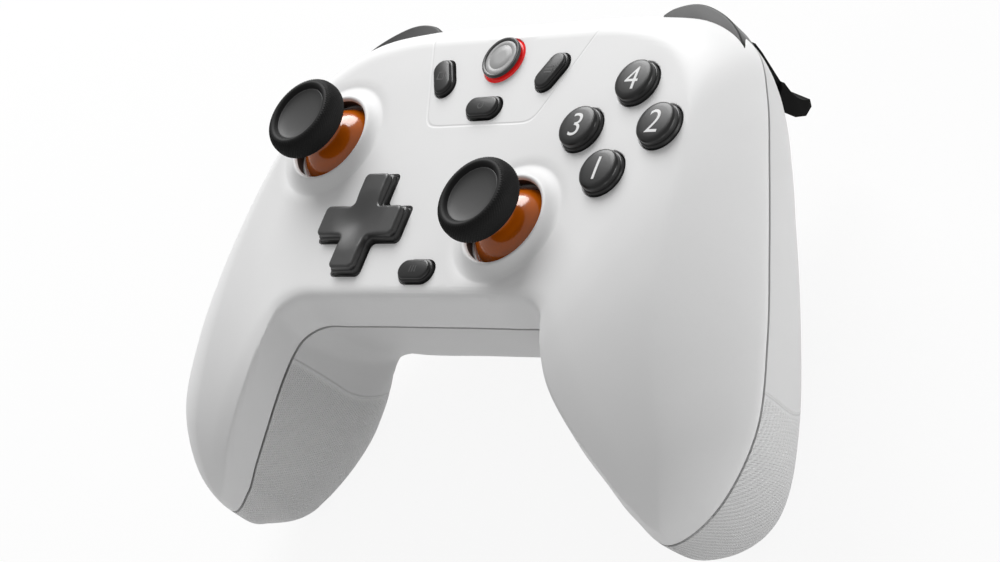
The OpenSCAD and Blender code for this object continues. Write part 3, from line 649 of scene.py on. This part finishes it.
def raise_collars(bm):
    for stick in (left_stick, right_stick):
        middle = {f: f.calc_center_median() for f in bm.faces}
        ring = [f for f in bm.faces
                if middle[f].z > FACE_DEPTH and RING_IN < (middle[f].to_2d() - stick).length < RING_OUT]
        edges = list({e for f in ring for e in f.edges})
        bmesh.ops.subdivide_edges(bm, edges=edges, cuts=5, use_grid_fill=True)
        for vert in bm.verts:
            r = (vert.co.to_2d() - stick).length
            if vert.co.z > FACE_DEPTH and r < DIP_END + 0.5:
                vert.co.z += sum(collar_profile(r + s) for s in SMOOTH) / len(SMOOTH)
    return bm


print("collar stands", COLLAR_H, "mm over the face")

# %% [markdown]
# The cross, the small buttons and the bumpers have outlines of their own. Each is a list of points in the plane of
# the face, used twice: a little larger for the opening, and at its true size for the piece that sits in it.

# %% Outlines
BUMPER_EDGE = [(30.5, 50.9), (32.8, 52.3), (37, 53), (41.2, 52.3), (46.8, 49.6), (51.4, 45.9), (54.8, 41.6)]
BUMPER_BACK = [(53.4, 40.4), (48, 42.4), (40, 43.4), (34, 43.2), (30.5, 42.4)]
BUMPER_SHIFT, BUMPER_TOP, BUMPER_LOW = -0.6, -6.6, -12.4
BUMPER_POST = (31.7, 45.6)


def cross_outline(reach, arm, at):
    a = arm / 2
    points = [(reach, -a), (reach, a), (a, a), (a, reach), (-a, reach), (-a, a), (-reach, a), (-reach, -a), (-a, -a),
              (-a, -reach), (a, -reach), (a, -a)]
    return [Vector(p) + at for p in points]


def pill_outline(length, width, at, angle, steps=16):
    half, points = (length - width) / 2, []
    for k in range(2 * steps + 2):
        end = 1 if k <= steps else -1
        around = math.pi * (k - (k > steps)) / steps - math.pi / 2
        points.append(Vector((end * half + width / 2 * math.cos(around), width / 2 * math.sin(around))))
    turned_by = Matrix.Rotation(math.radians(angle), 2)
    return [turned_by @ p + at for p in points]


def bumper_outline(grow=0.0):
    edge = [Vector(p) for p in BUMPER_EDGE]
    curve = [along(edge, edge[0], edge[-1], i / 6) for i in range(6 * (len(edge) - 1) + 1)]
    points = [p + Vector((0, BUMPER_SHIFT)) for p in curve + [Vector(p) for p in BUMPER_BACK]]
    moved = []
    for k, p in enumerate(points):
        before, after = points[k - 1], points[(k + 1) % len(points)]
        out = ((p - before).normalized() + (after - p).normalized()).normalized()
        moved.append(p + Vector((-out.y, out.x)) * grow)
    return moved


print("bumper outline has", len(bumper_outline()), "points")

# %% [markdown]
# Moulded edges are never sharp. A bevel of a few segments rounds the edges that a test picks out, such as all
# upright ones. The left bumper, its slot and the left trigger bay are the right ones mirrored. A mirrored mesh is
# inside out, so its normals are worked out again.

# %% Rounding and mirroring
def rounded(bm, width, segments, chosen):
    edges = [e for e in bm.edges if chosen(e)]
    bmesh.ops.bevel(bm, geom=edges, offset=width, segments=segments, profile=0.5, affect="EDGES", material=-1,
                    clamp_overlap=True)
    return bm


def upright(edge):
    a, b = edge.verts
    return abs(a.co.z - b.co.z) > 0.5 and (a.co - b.co).to_2d().length < 0.01


def mirrored(bm):
    bmesh.ops.scale(bm, vec=(-1, 1, 1), verts=bm.verts)
    bmesh.ops.recalc_face_normals(bm, faces=bm.faces)
    return bm


print("rounding and mirroring ready")

# %% [markdown]
# Round openings get a slightly flared edge, as moulded holes have. The cross and the small buttons have
# straight cuts, and each bumper has a slot: its outline with a little play, swept through its swing.
# A slot of the resting outline alone would let a pressed bumper cut into the shell.

# %% Cutters for the face
PLAY, BORE_R, BUTTON_HOLE, FLARE, HOME_HOLE, PILL_HOLE = 0.4, 9.9, 4.95, 0.12, 5.2, (9.6, 5.6)
CROSS_HOLE, CROSS_HOLE_ARM, CROSS_CORNER = 11.7, 8.6, 1.2
PILLS = {"view_button": 118, "menu_button": 62, "share_button": 0, "mode_button": 0}
SWINGS = (-1.3, -2.6, -3.9)


def flared(r, at):
    return turned([(0, -9), (r, -9), (r, -FLARE), (r + FLARE, 0), (r + FLARE, 4), (0, 4)], at)


def bore(at):
    return turned([(0, -20), (BORE_R, -20), (BORE_R, -2.6), (HOLE_R, -0.6), (HOLE_R, 20), (0, 20)], at, 96)


def bumper_slot():
    slot = pulled(bumper_outline(PLAY), BUMPER_LOW - PLAY, BUMPER_TOP + PLAY)
    for swing in SWINGS:
        pressed = pulled(bumper_outline(PLAY), BUMPER_LOW - PLAY, BUMPER_TOP + PLAY)
        turn_by = Matrix.Rotation(math.radians(swing), 3, "Z")
        bmesh.ops.rotate(pressed, cent=(*BUMPER_POST, 0), matrix=turn_by, verts=pressed.verts)
        slot = combine(slot, pressed, "UNION")
    return slot


def face_cutters():
    parts = [bore(left_stick), bore(right_stick)]
    parts += [flared(BUTTON_HOLE, spot(f"button_{k}")) for k in (1, 2, 3, 4)]
    parts.append(turned([(0, -9), (HOME_HOLE, -9), (HOME_HOLE, 4), (0, 4)], spot("home_button")))
    cross = pulled(cross_outline(CROSS_HOLE, CROSS_HOLE_ARM, cross_spot), -9, 9)
    parts.append(rounded(cross, CROSS_CORNER, 4, upright))
    parts += [pulled(pill_outline(*PILL_HOLE, spot(n), angle), -9, 9) for n, angle in PILLS.items()]
    parts += [bumper_slot(), mirrored(bumper_slot())]
    return gather(*parts)


print("openings for", len(PILLS), "small buttons, swings of", SWINGS, "degrees")

# %% [markdown]
# ### Front shell
# The skin is hollowed with a second, smaller loft, and the openings are cut through what is left.
# The posts inside come from the CAD solid: the part of it that lies within the hollow is kept as it is.
# Round the buttons the skin is made finer first, so that a cut leaves no long thin faces to spoil the shading.
# The bore walls of the stick openings are painted near black as painted shade for the deep gap round each dome, so
# those faces take the second finish.

# %% Front shell
SKIN_GRID, WALL = (130, 72), 2.2


def from_cad(node):
    bm = bmesh.new()
    bm.from_mesh(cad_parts[node].data)
    bmesh.ops.scale(bm, vec=(1 / MM,) * 3, verts=bm.verts)
    bmesh.ops.translate(bm, vec=-face, verts=bm.verts)
    return tidy(bm)


def inner_works(node, front):
    return combine(from_cad(node), loft(front, 24, 16, inset=WALL - 0.5, reach=10.2, lap=4.0), "INTERSECT")


def hollow(front):
    return loft(front, 36, 24, inset=WALL, reach=10.1, lap=1.0)


def finer(bm, reach, cuts):
    spots = [spot(n) for n in ("button_1", "button_2", "button_3", "button_4", "home_button", *PILLS)]
    chosen = []
    for f in bm.faces:
        at = f.calc_center_median()
        on_ring = min((at.to_2d() - stick).length for stick in (left_stick, right_stick)) < RING_OUT
        if at.z > FACE_DEPTH and not on_ring and min((at.to_2d() - s).length for s in spots) < reach:
            chosen.append(f)
    edges = list({e for f in chosen for e in f.edges})
    bmesh.ops.subdivide_edges(bm, edges=edges, cuts=cuts, use_grid_fill=True)
    return bm


front = finer(raise_collars(loft(True, *SKIN_GRID)), reach=7.5, cuts=3)
front = combine(front, hollow(True))
front = combine(front, face_cutters())
# The lower bore walls round the sticks take the painted shade finish.
for wall_face in front.faces:
    at = wall_face.calc_center_median()
    in_bore = min((at.to_2d() - left_stick).length, (at.to_2d() - right_stick).length) < BORE_R + 0.05
    wall_face.material_index = int(in_bore and at.z < 0.8 and wall_face.normal.z < 0.6)
piece(gather(front, inner_works("front_shell", True)), "front_shell_skin", [shell_white, bore_painted_shade], "housing",
      ["front_shell"])

# %% [markdown]
# ### Rear shell
# The rear shell is made like the front one: a skin, its hollow, and the CAD posts inside. It has the trigger bays
# at the far side, deep screw holes and a slot for the charging socket. The bays and the slot open towards the far
# side, so their outlines are pulled up flat and then stood up.

# %% Rear shell
BAY = [(32.6, -70), (53, -70), (53, -21.6), (50.4, -21.6), (50.4, -12.4), (32.6, -12.4)]
BAY_FRONT, SCREW_R, SOCKET, SOCKET_LEVEL = -36.2, 2.75, (9.2, 3.5), -11.4
SCREWS = ((23.48, 31.05, -21), (58.95, -37.57, -31))


def stood_up(bm):
    bmesh.ops.rotate(bm, cent=(0, 0, 0), matrix=Matrix.Rotation(math.pi / 2, 3, "X"), verts=bm.verts)
    return bm


def trigger_bay():
    return stood_up(pulled(BAY, -100, BAY_FRONT))


def back_cutters():
    parts = [trigger_bay(), mirrored(trigger_bay())]
    for x, y, seat in SCREWS:
        for hand in (1, -1):
            parts.append(turned([(0, -80), (SCREW_R, -80), (SCREW_R, seat), (0, seat)], (hand * x, y), 48))
    socket = stood_up(pulled(pill_outline(*SOCKET, Vector((0, SOCKET_LEVEL)), 0), -80, -40))
    return gather(*parts, socket)


rear = combine(loft(False, *SKIN_GRID), hollow(False))
rear = combine(rear, gather(bumper_slot(), mirrored(bumper_slot())))
rear = combine(rear, back_cutters())
piece(gather(rear, inner_works("rear_shell", False)), "rear_shell_skin", [shell_back], "housing", ["rear_shell"])

# %% [markdown]
# ## The thumbsticks
# A stick is a glossy orange dome with a slim neck, and a rubber cap pressed on the neck. Both are round, so both
# are turned. The dome is hollow below and swings about the centre of its own curve, so it always fills the opening.

# %% Orange stems
PIVOT, DOME_R, NECK_R = -7.0, 10.2, 3.2


def arc(r, first, last, steps, centre=(0, 0)):
    angles = [math.radians(first + (last - first) * k / steps) for k in range(steps + 1)]
    return [(centre[0] + r * math.cos(a), centre[1] + r * math.sin(a)) for a in angles]


stem_outline = ([(0, 7.8), (2, 7.8), (2, 1.98)] + arc(DOME_R - 1, 76, 0, 14, (0, PIVOT))
                + arc(DOME_R, 0, 66, 24, (0, PIVOT)) + [(3.7, 2.6), (3.4, 3.1), (NECK_R, 3.8), (NECK_R, 8.6), (0, 8.6)])
for hand, at in (("left", left_stick), ("right", right_stick)):
    piece(turned(stem_outline, at, 96), f"{hand}_stem_dome", [stem_orange], f"{hand}_stick", [f"{hand}_stem"])

# %% [markdown]
# The cap's rim is knurled for grip. A bump in the finish would leave the outline smooth, so the points themselves
# move: every other point of the finely turned rim is pushed out and the rest pulled in, which gives small diamonds.
# The dished top is smoother and a shade lighter, so its faces take the second finish.

# %% Rubber caps
RIM_STEPS, KNURL, KNURL_STEP, KNURL_FROM, DISH_R, DISH_LOW = 324, 0.16, 0.7, 7.3, 5.9, 9.5
CAP_SIDE = [(6.0, 5.6), (7.2, 5.9), (8.1, 6.7), (8.58, 7.8), (8.62, 8.9), (8.45, 9.9), (7.95, 10.8), (7.35, 11.25),
            (6.85, 11.4), (6.4, 11.2), (6.1, 10.85)]
CAP_DISH = [(5.9, 10.6), (5.75, 10.66), (5.6, 10.55), (4.8, 10.3), (3.8, 10.14), (2.8, 10.05), (1.8, 9.98), (0.9, 9.95),
            (0, 9.94)]


def fine(outline, step):
    points = [Vector(p) for p in outline]
    curve = [along(points, points[0], points[-1], k / 40) for k in range(40 * (len(points) - 1) + 1)]
    run, result = 0.0, [curve[0]]
    for before, after in zip(curve, curve[1:]):
        run += (after - before).length
        if run >= step * len(result):
            result.append(after)
    return result


def knurled(bm, at, rings):
    for vert in bm.verts:
        out = vert.co.to_2d() - Vector(at)
        k, ring = min(enumerate(rings), key=lambda pair: (pair[1] - Vector((out.length, vert.co.z))).length)
        if (ring - Vector((out.length, vert.co.z))).length < 0.02 and ring.x > KNURL_FROM:
            steps = round(math.atan2(out.y, out.x) / math.tau * RIM_STEPS)
            push = KNURL * math.sin(steps * math.pi / 2 + math.pi / 4) * math.sin(k * math.pi / 2 + math.pi / 4)
            ahead = (rings[min(k + 1, len(rings) - 1)] - rings[max(k - 1, 0)]).normalized()
            out = out.normalized() * ahead.y * push
            vert.co += Vector((out.x, out.y, -ahead.x * push))
    return bm


for hand, at in (("left", left_stick), ("right", right_stick)):
    rings = fine(CAP_SIDE, KNURL_STEP / 4)
    outline = [(0, 8.6), (NECK_R, 8.6), (NECK_R, 5.6)] + [tuple(p) for p in rings] + CAP_DISH
    cap = knurled(turned(outline, at, RIM_STEPS), at, rings)
    for cap_face in cap.faces:
        middle = cap_face.calc_center_median()
        cap_face.material_index = int((middle.to_2d() - at).length < DISH_R and middle.z > DISH_LOW)
    piece(cap, f"{hand}_cap_rubber", [cap_rubber, dish_rubber], f"{hand}_stick", [f"{hand}_cap"],
          sharp=60)

# %% [markdown]
# ## The cross pad
# One black piece with four arms. It is built in two storeys: a lower block that fills the opening,
# and an upper one set in a little, with a rounded rim. The top dips smoothly towards the middle, so the block is
# first sliced into a fine grid. What lies under the face is taken over from the CAD solid.

# %% Cross pad
CROSS_REACH, CROSS_ARM, CROSS_LOWER, CROSS_TOP, CROSS_STEP = 11.1, 7.4, 1.15, 2.4, 0.35
CROSS_SLICE, CROSS_DIP, CROSS_DIP_R = 0.42, 0.9, 7.5


def below(node, level):
    bm = from_cad(node)
    geom = list(bm.verts) + list(bm.edges) + list(bm.faces)
    cut = bmesh.ops.bisect_plane(bm, geom=geom, plane_co=(0, 0, level), plane_no=(0, 0, 1), clear_outer=True)
    rims = [e for e in cut["geom_cut"] if isinstance(e, bmesh.types.BMEdge)]
    bmesh.ops.holes_fill(bm, edges=rims)
    return bm


def at_level(level):
    return lambda edge: all(abs(v.co.z - level) < 0.001 for v in edge.verts) and edge.calc_face_angle(0) > 0.7


def sliced(bm, step, reach, at):
    count = int(reach / step)
    for axis in ((1, 0, 0), (0, 1, 0)):
        for k in range(-count, count + 1):
            geom = list(bm.verts) + list(bm.edges) + list(bm.faces)
            point = Vector((at[0], at[1], 0)) + Vector(axis) * k * step
            bmesh.ops.bisect_plane(bm, geom=geom, plane_co=point, plane_no=axis, dist=0.0001)


lower = pulled(cross_outline(CROSS_REACH, CROSS_ARM, cross_spot), -0.2, CROSS_LOWER)
rounded(lower, CROSS_CORNER, 5, upright)
rounded(lower, 0.25, 2, at_level(CROSS_LOWER))
upper = pulled(cross_outline(CROSS_REACH - CROSS_STEP, CROSS_ARM - 2 * CROSS_STEP, cross_spot), 0.6, CROSS_TOP)
rounded(upper, CROSS_CORNER, 5, upright)
rounded(upper, 0.55, 4, at_level(CROSS_TOP))
sliced(upper, CROSS_SLICE, CROSS_REACH, cross_spot)
for vert in upper.verts:
    if vert.co.z > CROSS_TOP - 0.6:
        far = min(1, (vert.co.to_2d() - cross_spot).length / CROSS_DIP_R)
        vert.co.z -= CROSS_DIP * (1 - far * far * (3 - 2 * far))
piece(gather(lower, upper, below("cross_pad", 0.0)), "cross_pad_top", [cross_black], "cross_pad", ["cross_pad"],
      sharp=40)

# %% [markdown]
# Each arm has a faint mark near its end. It is as thin as print, so a triangle laid just over the top is enough.
# Four of them, each turned to its arm, make one piece.

# %% Small marks on the arms
PRINT_LIFT = 0.012

marks = []
for turn_by in range(4):
    mark = bmesh.new()
    bmesh.ops.create_circle(mark, cap_ends=True, radius=0.55, segments=3)
    bmesh.ops.translate(mark, vec=(8.0, 0, CROSS_TOP + PRINT_LIFT), verts=mark.verts)
    bmesh.ops.rotate(mark, cent=(0, 0, 0), matrix=Matrix.Rotation(turn_by * math.pi / 2, 3, "Z"), verts=mark.verts)
    bmesh.ops.translate(mark, vec=(cross_spot.x, cross_spot.y, 0), verts=mark.verts)
    marks.append(mark)
piece(gather(*marks), "cross_pad_marks", [mark_grey], "cross_pad")

# %% [markdown]
# ## Face buttons
# Each is a turned cap with a gentle dome. A narrow step parts the cap from the skirt that fills the opening.
# A white numeral lies on the dome: a text object is made a mesh and each of its points is set on the dome.

# %% Four face buttons
BUTTON_TOP, FIGURE_SIZE = 2.4, 7.2
BUTTON_SIDE = [(0, -7), (3.29, -7), (3.29, -4.5), (5.6, -4.5), (5.6, -3.5), (4.7, -3.5), (4.7, 0.55), (4.62, 0.7),
               (4.48, 0.76), (4.4, 0.78), (4.4, 0.9), (4.44, 1.5), (4.36, 1.84), (4.16, 2.1), (3.8, 2.24), (3.2, 2.3),
               (2.2, 2.35), (1.1, 2.38), (0, 2.4)]


def dome(r):
    return BUTTON_TOP - 0.1 * (r / 3.2) ** 2


def numeral(figure, at):
    text = bpy.data.curves.new("figure", "FONT")
    text.body, text.size, text.extrude, text.offset = str(figure), FIGURE_SIZE, 0.02, -0.05
    text.align_x, text.align_y = "CENTER", "CENTER"
    holder = bpy.data.objects.new("figure", text)
    scene.collection.objects.link(holder)
    bpy.context.view_layer.update()
    mesh = bpy.data.meshes.new_from_object(holder.evaluated_get(bpy.context.evaluated_depsgraph_get()))
    bpy.data.objects.remove(holder)
    bm = bmesh.new()
    bm.from_mesh(mesh)
    bpy.data.meshes.remove(mesh)
    xs, ys = [v.co.x for v in bm.verts], [v.co.y for v in bm.verts]
    middle = Vector(((min(xs) + max(xs)) / 2, (min(ys) + max(ys)) / 2, 0))
    bmesh.ops.translate(bm, vec=-middle, verts=bm.verts)
    sliced(bm, 0.4, 3, (0, 0))
    for vert in bm.verts:
        vert.co.z += dome(vert.co.to_2d().length) + PRINT_LIFT
    bmesh.ops.translate(bm, vec=(at.x, at.y, 0), verts=bm.verts)
    return bm


for k in (1, 2, 3, 4):
    at = spot(f"button_{k}")
    cap = turned(BUTTON_SIDE, at, 64)
    piece(cap, f"button_{k}_cap", [button_black], f"button_{k}", [f"button_{k}"],
          sharp=50)
    piece(numeral(k, at), f"button_{k}_numeral", [mark_white], f"button_{k}")

# %% [markdown]
# ## Home button and small buttons
# The home button is a dark bezel round a lighter disc, left plain with one fine ring. A red light guide shows
# below it, fixed in the housing, so the button moves and the light stays. Both are turned.

# %% Home button and its light ring
DISC_R, DISC_LOW = 3.8, 1.3

home_spot = spot("home_button")
bezel = [(0, -8.1), (2.79, -8.1), (2.79, 0.88), (4.5, 0.88), (4.62, 0.92), (4.65, 1.0), (4.65, 1.36), (4.5, 1.57),
         (4.3, 1.6), (4.0, 1.56), (3.86, 1.48), (3.82, 1.42), (DISC_R, 1.38)]
disc = [(3.6, 1.44), (2.9, 1.47), (2.84, 1.43), (2.7, 1.43), (2.64, 1.47), (1.3, 1.49), (0, 1.5)]
home = turned(bezel + disc, home_spot, 72)
for home_face in home.faces:
    middle = home_face.calc_center_median()
    home_face.material_index = int((middle.to_2d() - home_spot).length < DISC_R and middle.z > DISC_LOW)
piece(home, "home_button_cap", [bezel_grey, disc_grey], "home_button", ["home_button"], sharp=40)
ring = turned([(3.19, -3.4), (5.1, -3.4), (5.1, -0.35), (5.0, -0.1), (4.72, 0.22), (4.6, 0.3), (3.19, 0.3),
               (3.19, -3.4)], home_spot, 72)
piece(ring, "home_light_guide", [light_red], "housing", ["home_light_ring"], sharp=40)

# %% [markdown]
# The four small buttons are long pills in two storeys, a skirt in the opening and a crown with a rounded rim.
# An outline of two half circles is pulled up for each storey, and what lies under the face comes from CAD.

# %% Small buttons
PILL_SKIRT, PILL_CROWN, SKIRT_TOP, PILL_TOP = (8.8, 4.8), (8.2, 4.2), 0.85, 1.5

for node, angle in PILLS.items():
    at = spot(node)
    skirt = pulled(pill_outline(*PILL_SKIRT, at, angle), -0.6, SKIRT_TOP)
    rounded(skirt, 0.12, 2, at_level(SKIRT_TOP))
    crown = pulled(pill_outline(*PILL_CROWN, at, angle), 0.3, PILL_TOP)
    rounded(crown, 0.45, 4, at_level(PILL_TOP))
    piece(gather(skirt, crown, below(node, -0.4)), f"{node}_cap", [button_black], node, [node],
          sharp=40)

# %% [markdown]
# Each small button carries a plain mark: a square, a ring, or three bars. The marks are very low blocks that stand
# 0.03 mm proud of the crown, as thick as print, and they move with their button.

# %% Plain marks on the small buttons
MARK_LOW, MARK_TOP = PILL_TOP - 0.02, PILL_TOP + 0.03


def box(low, high):
    bm = bmesh.new()
    bmesh.ops.create_cube(bm, size=1)
    low, high = Vector(low), Vector(high)
    bmesh.ops.scale(bm, vec=high - low, verts=bm.verts)
    bmesh.ops.translate(bm, vec=(low + high) / 2, verts=bm.verts)
    return bm


def bars(at, *sizes):
    return [box((at.x + x - w / 2, at.y + y - h / 2, MARK_LOW), (at.x + x + w / 2, at.y + y + h / 2, MARK_TOP))
            for x, y, w, h in sizes]


def mark_ring(at):
    return turned([(0.55, MARK_LOW), (0.8, MARK_LOW), (0.8, MARK_TOP), (0.55, MARK_TOP), (0.55, MARK_LOW)], at, 32)


square = [(0, 0.8, 1.85, 0.25), (0, -0.8, 1.85, 0.25), (0.8, 0, 0.25, 1.35), (-0.8, 0, 0.25, 1.35)]
MARKS = {"view_button": bars(spot("view_button"), *square), "share_button": [mark_ring(spot("share_button"))],
         "menu_button": bars(spot("menu_button"), *[(0, y, 2.0, 0.28) for y in (-0.65, 0, 0.65)]),
         "mode_button": bars(spot("mode_button"), (-0.7, 0, 0.3, 1.4), (0, 0, 0.3, 1.4), (0.7, 0, 0.3, 1.4))}
for node, parts in MARKS.items():
    piece(gather(*parts), f"{node}_mark", [mark_grey], node)

# %% [markdown]
# ## Bumpers and triggers
# A bumper is its outline pulled up, with well rounded edges, and a hole for the post that it turns on.
# The left one is the right one mirrored, with its normals turned outwards again.

# %% Bumpers
POST_HOLE = 1.6


def right_bumper():
    bm = pulled(bumper_outline(), BUMPER_LOW, BUMPER_TOP)
    rounded(bm, 1.0, 5, lambda e: at_level(BUMPER_TOP)(e) or at_level(BUMPER_LOW)(e))
    post = turned([(0, -20), (POST_HOLE, -20), (POST_HOLE, 0), (0, 0)], BUMPER_POST, 40)
    return combine(bm, post)


for hand in ("right", "left"):
    bm = right_bumper() if hand == "right" else mirrored(right_bumper())
    piece(bm, f"{hand}_bumper_cap", [bumper_grey], f"{hand}_bumper", [f"{hand}_bumper"],
          sharp=40)

# %% [markdown]
# A trigger's curved finger face already has the right form in the CAD model, so a copy of it is merged, its flat
# areas are joined, and only its corners are rounded, because a moulded corner is never quite sharp.

# %% Triggers
for hand in ("right", "left"):
    bm = from_cad(f"{hand}_trigger")
    bmesh.ops.dissolve_limit(bm, angle_limit=math.radians(2), verts=bm.verts, edges=bm.edges)
    rounded(bm, 0.45, 3, lambda e: e.is_manifold and e.calc_face_angle(0) > 0.9 and e.calc_length() > 0.4)
    piece(bm, f"{hand}_trigger_finger", [trigger_black], f"{hand}_trigger", [f"{hand}_trigger"],
          sharp=35)

# %% [markdown]
# ## Inside
# The board, the stick mechanisms, the motors and the battery are hidden in the closed body. Their CAD shapes are
# right as they are, so no new piece is made: each node only gets a finish of its own in its material slot.

# %% Finishes for the inner nodes
board_green = moulded("board_green", (0.02, 0.12, 0.05, 1), 0.4, 0.6, 0.01, 0.3)
mechanism_plastic = moulded("mechanism_plastic", grey(0.12), 0.5)
mat_rubber = moulded("mat_rubber", grey(0.3), 0.6)
weight_brass = moulded("weight_brass", (0.5, 0.33, 0.1, 1), 0.3, 0.4, 0.006, 0.15, Metallic=1.0)
steel = moulded("steel", grey(0.5), 0.3, 0.3, 0.005, 0.15, Metallic=1.0)
battery_wrap = moulded("battery_wrap", (0.1, 0.13, 0.17, 1), 0.45)
INSIDE = {"board_green": (board_green, ["main_board"]), "mat_rubber": (mat_rubber, ["button_mat", "cross_mat"]),
          "battery_wrap": (battery_wrap, ["battery"]), "weight_brass": (weight_brass, ["right_weight", "left_weight"]),
          "mechanism_plastic": (mechanism_plastic, ["left_stick_base", "right_stick_base", "left_yoke", "right_yoke",
                                                    "left_shaft", "right_shaft", "cross_pivot", "cross_base"]),
          "steel": (steel, ["click_switches", "trigger_pins", "right_motor", "left_motor", "charge_socket",
                            "shell_screws"])}
for finish, names in INSIDE.values():
    for name in names:
        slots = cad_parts[name].data.materials
        slots.clear()
        slots.append(finish.material)
print("inner nodes dressed", sum(len(names) for _, names in INSIDE.values()))
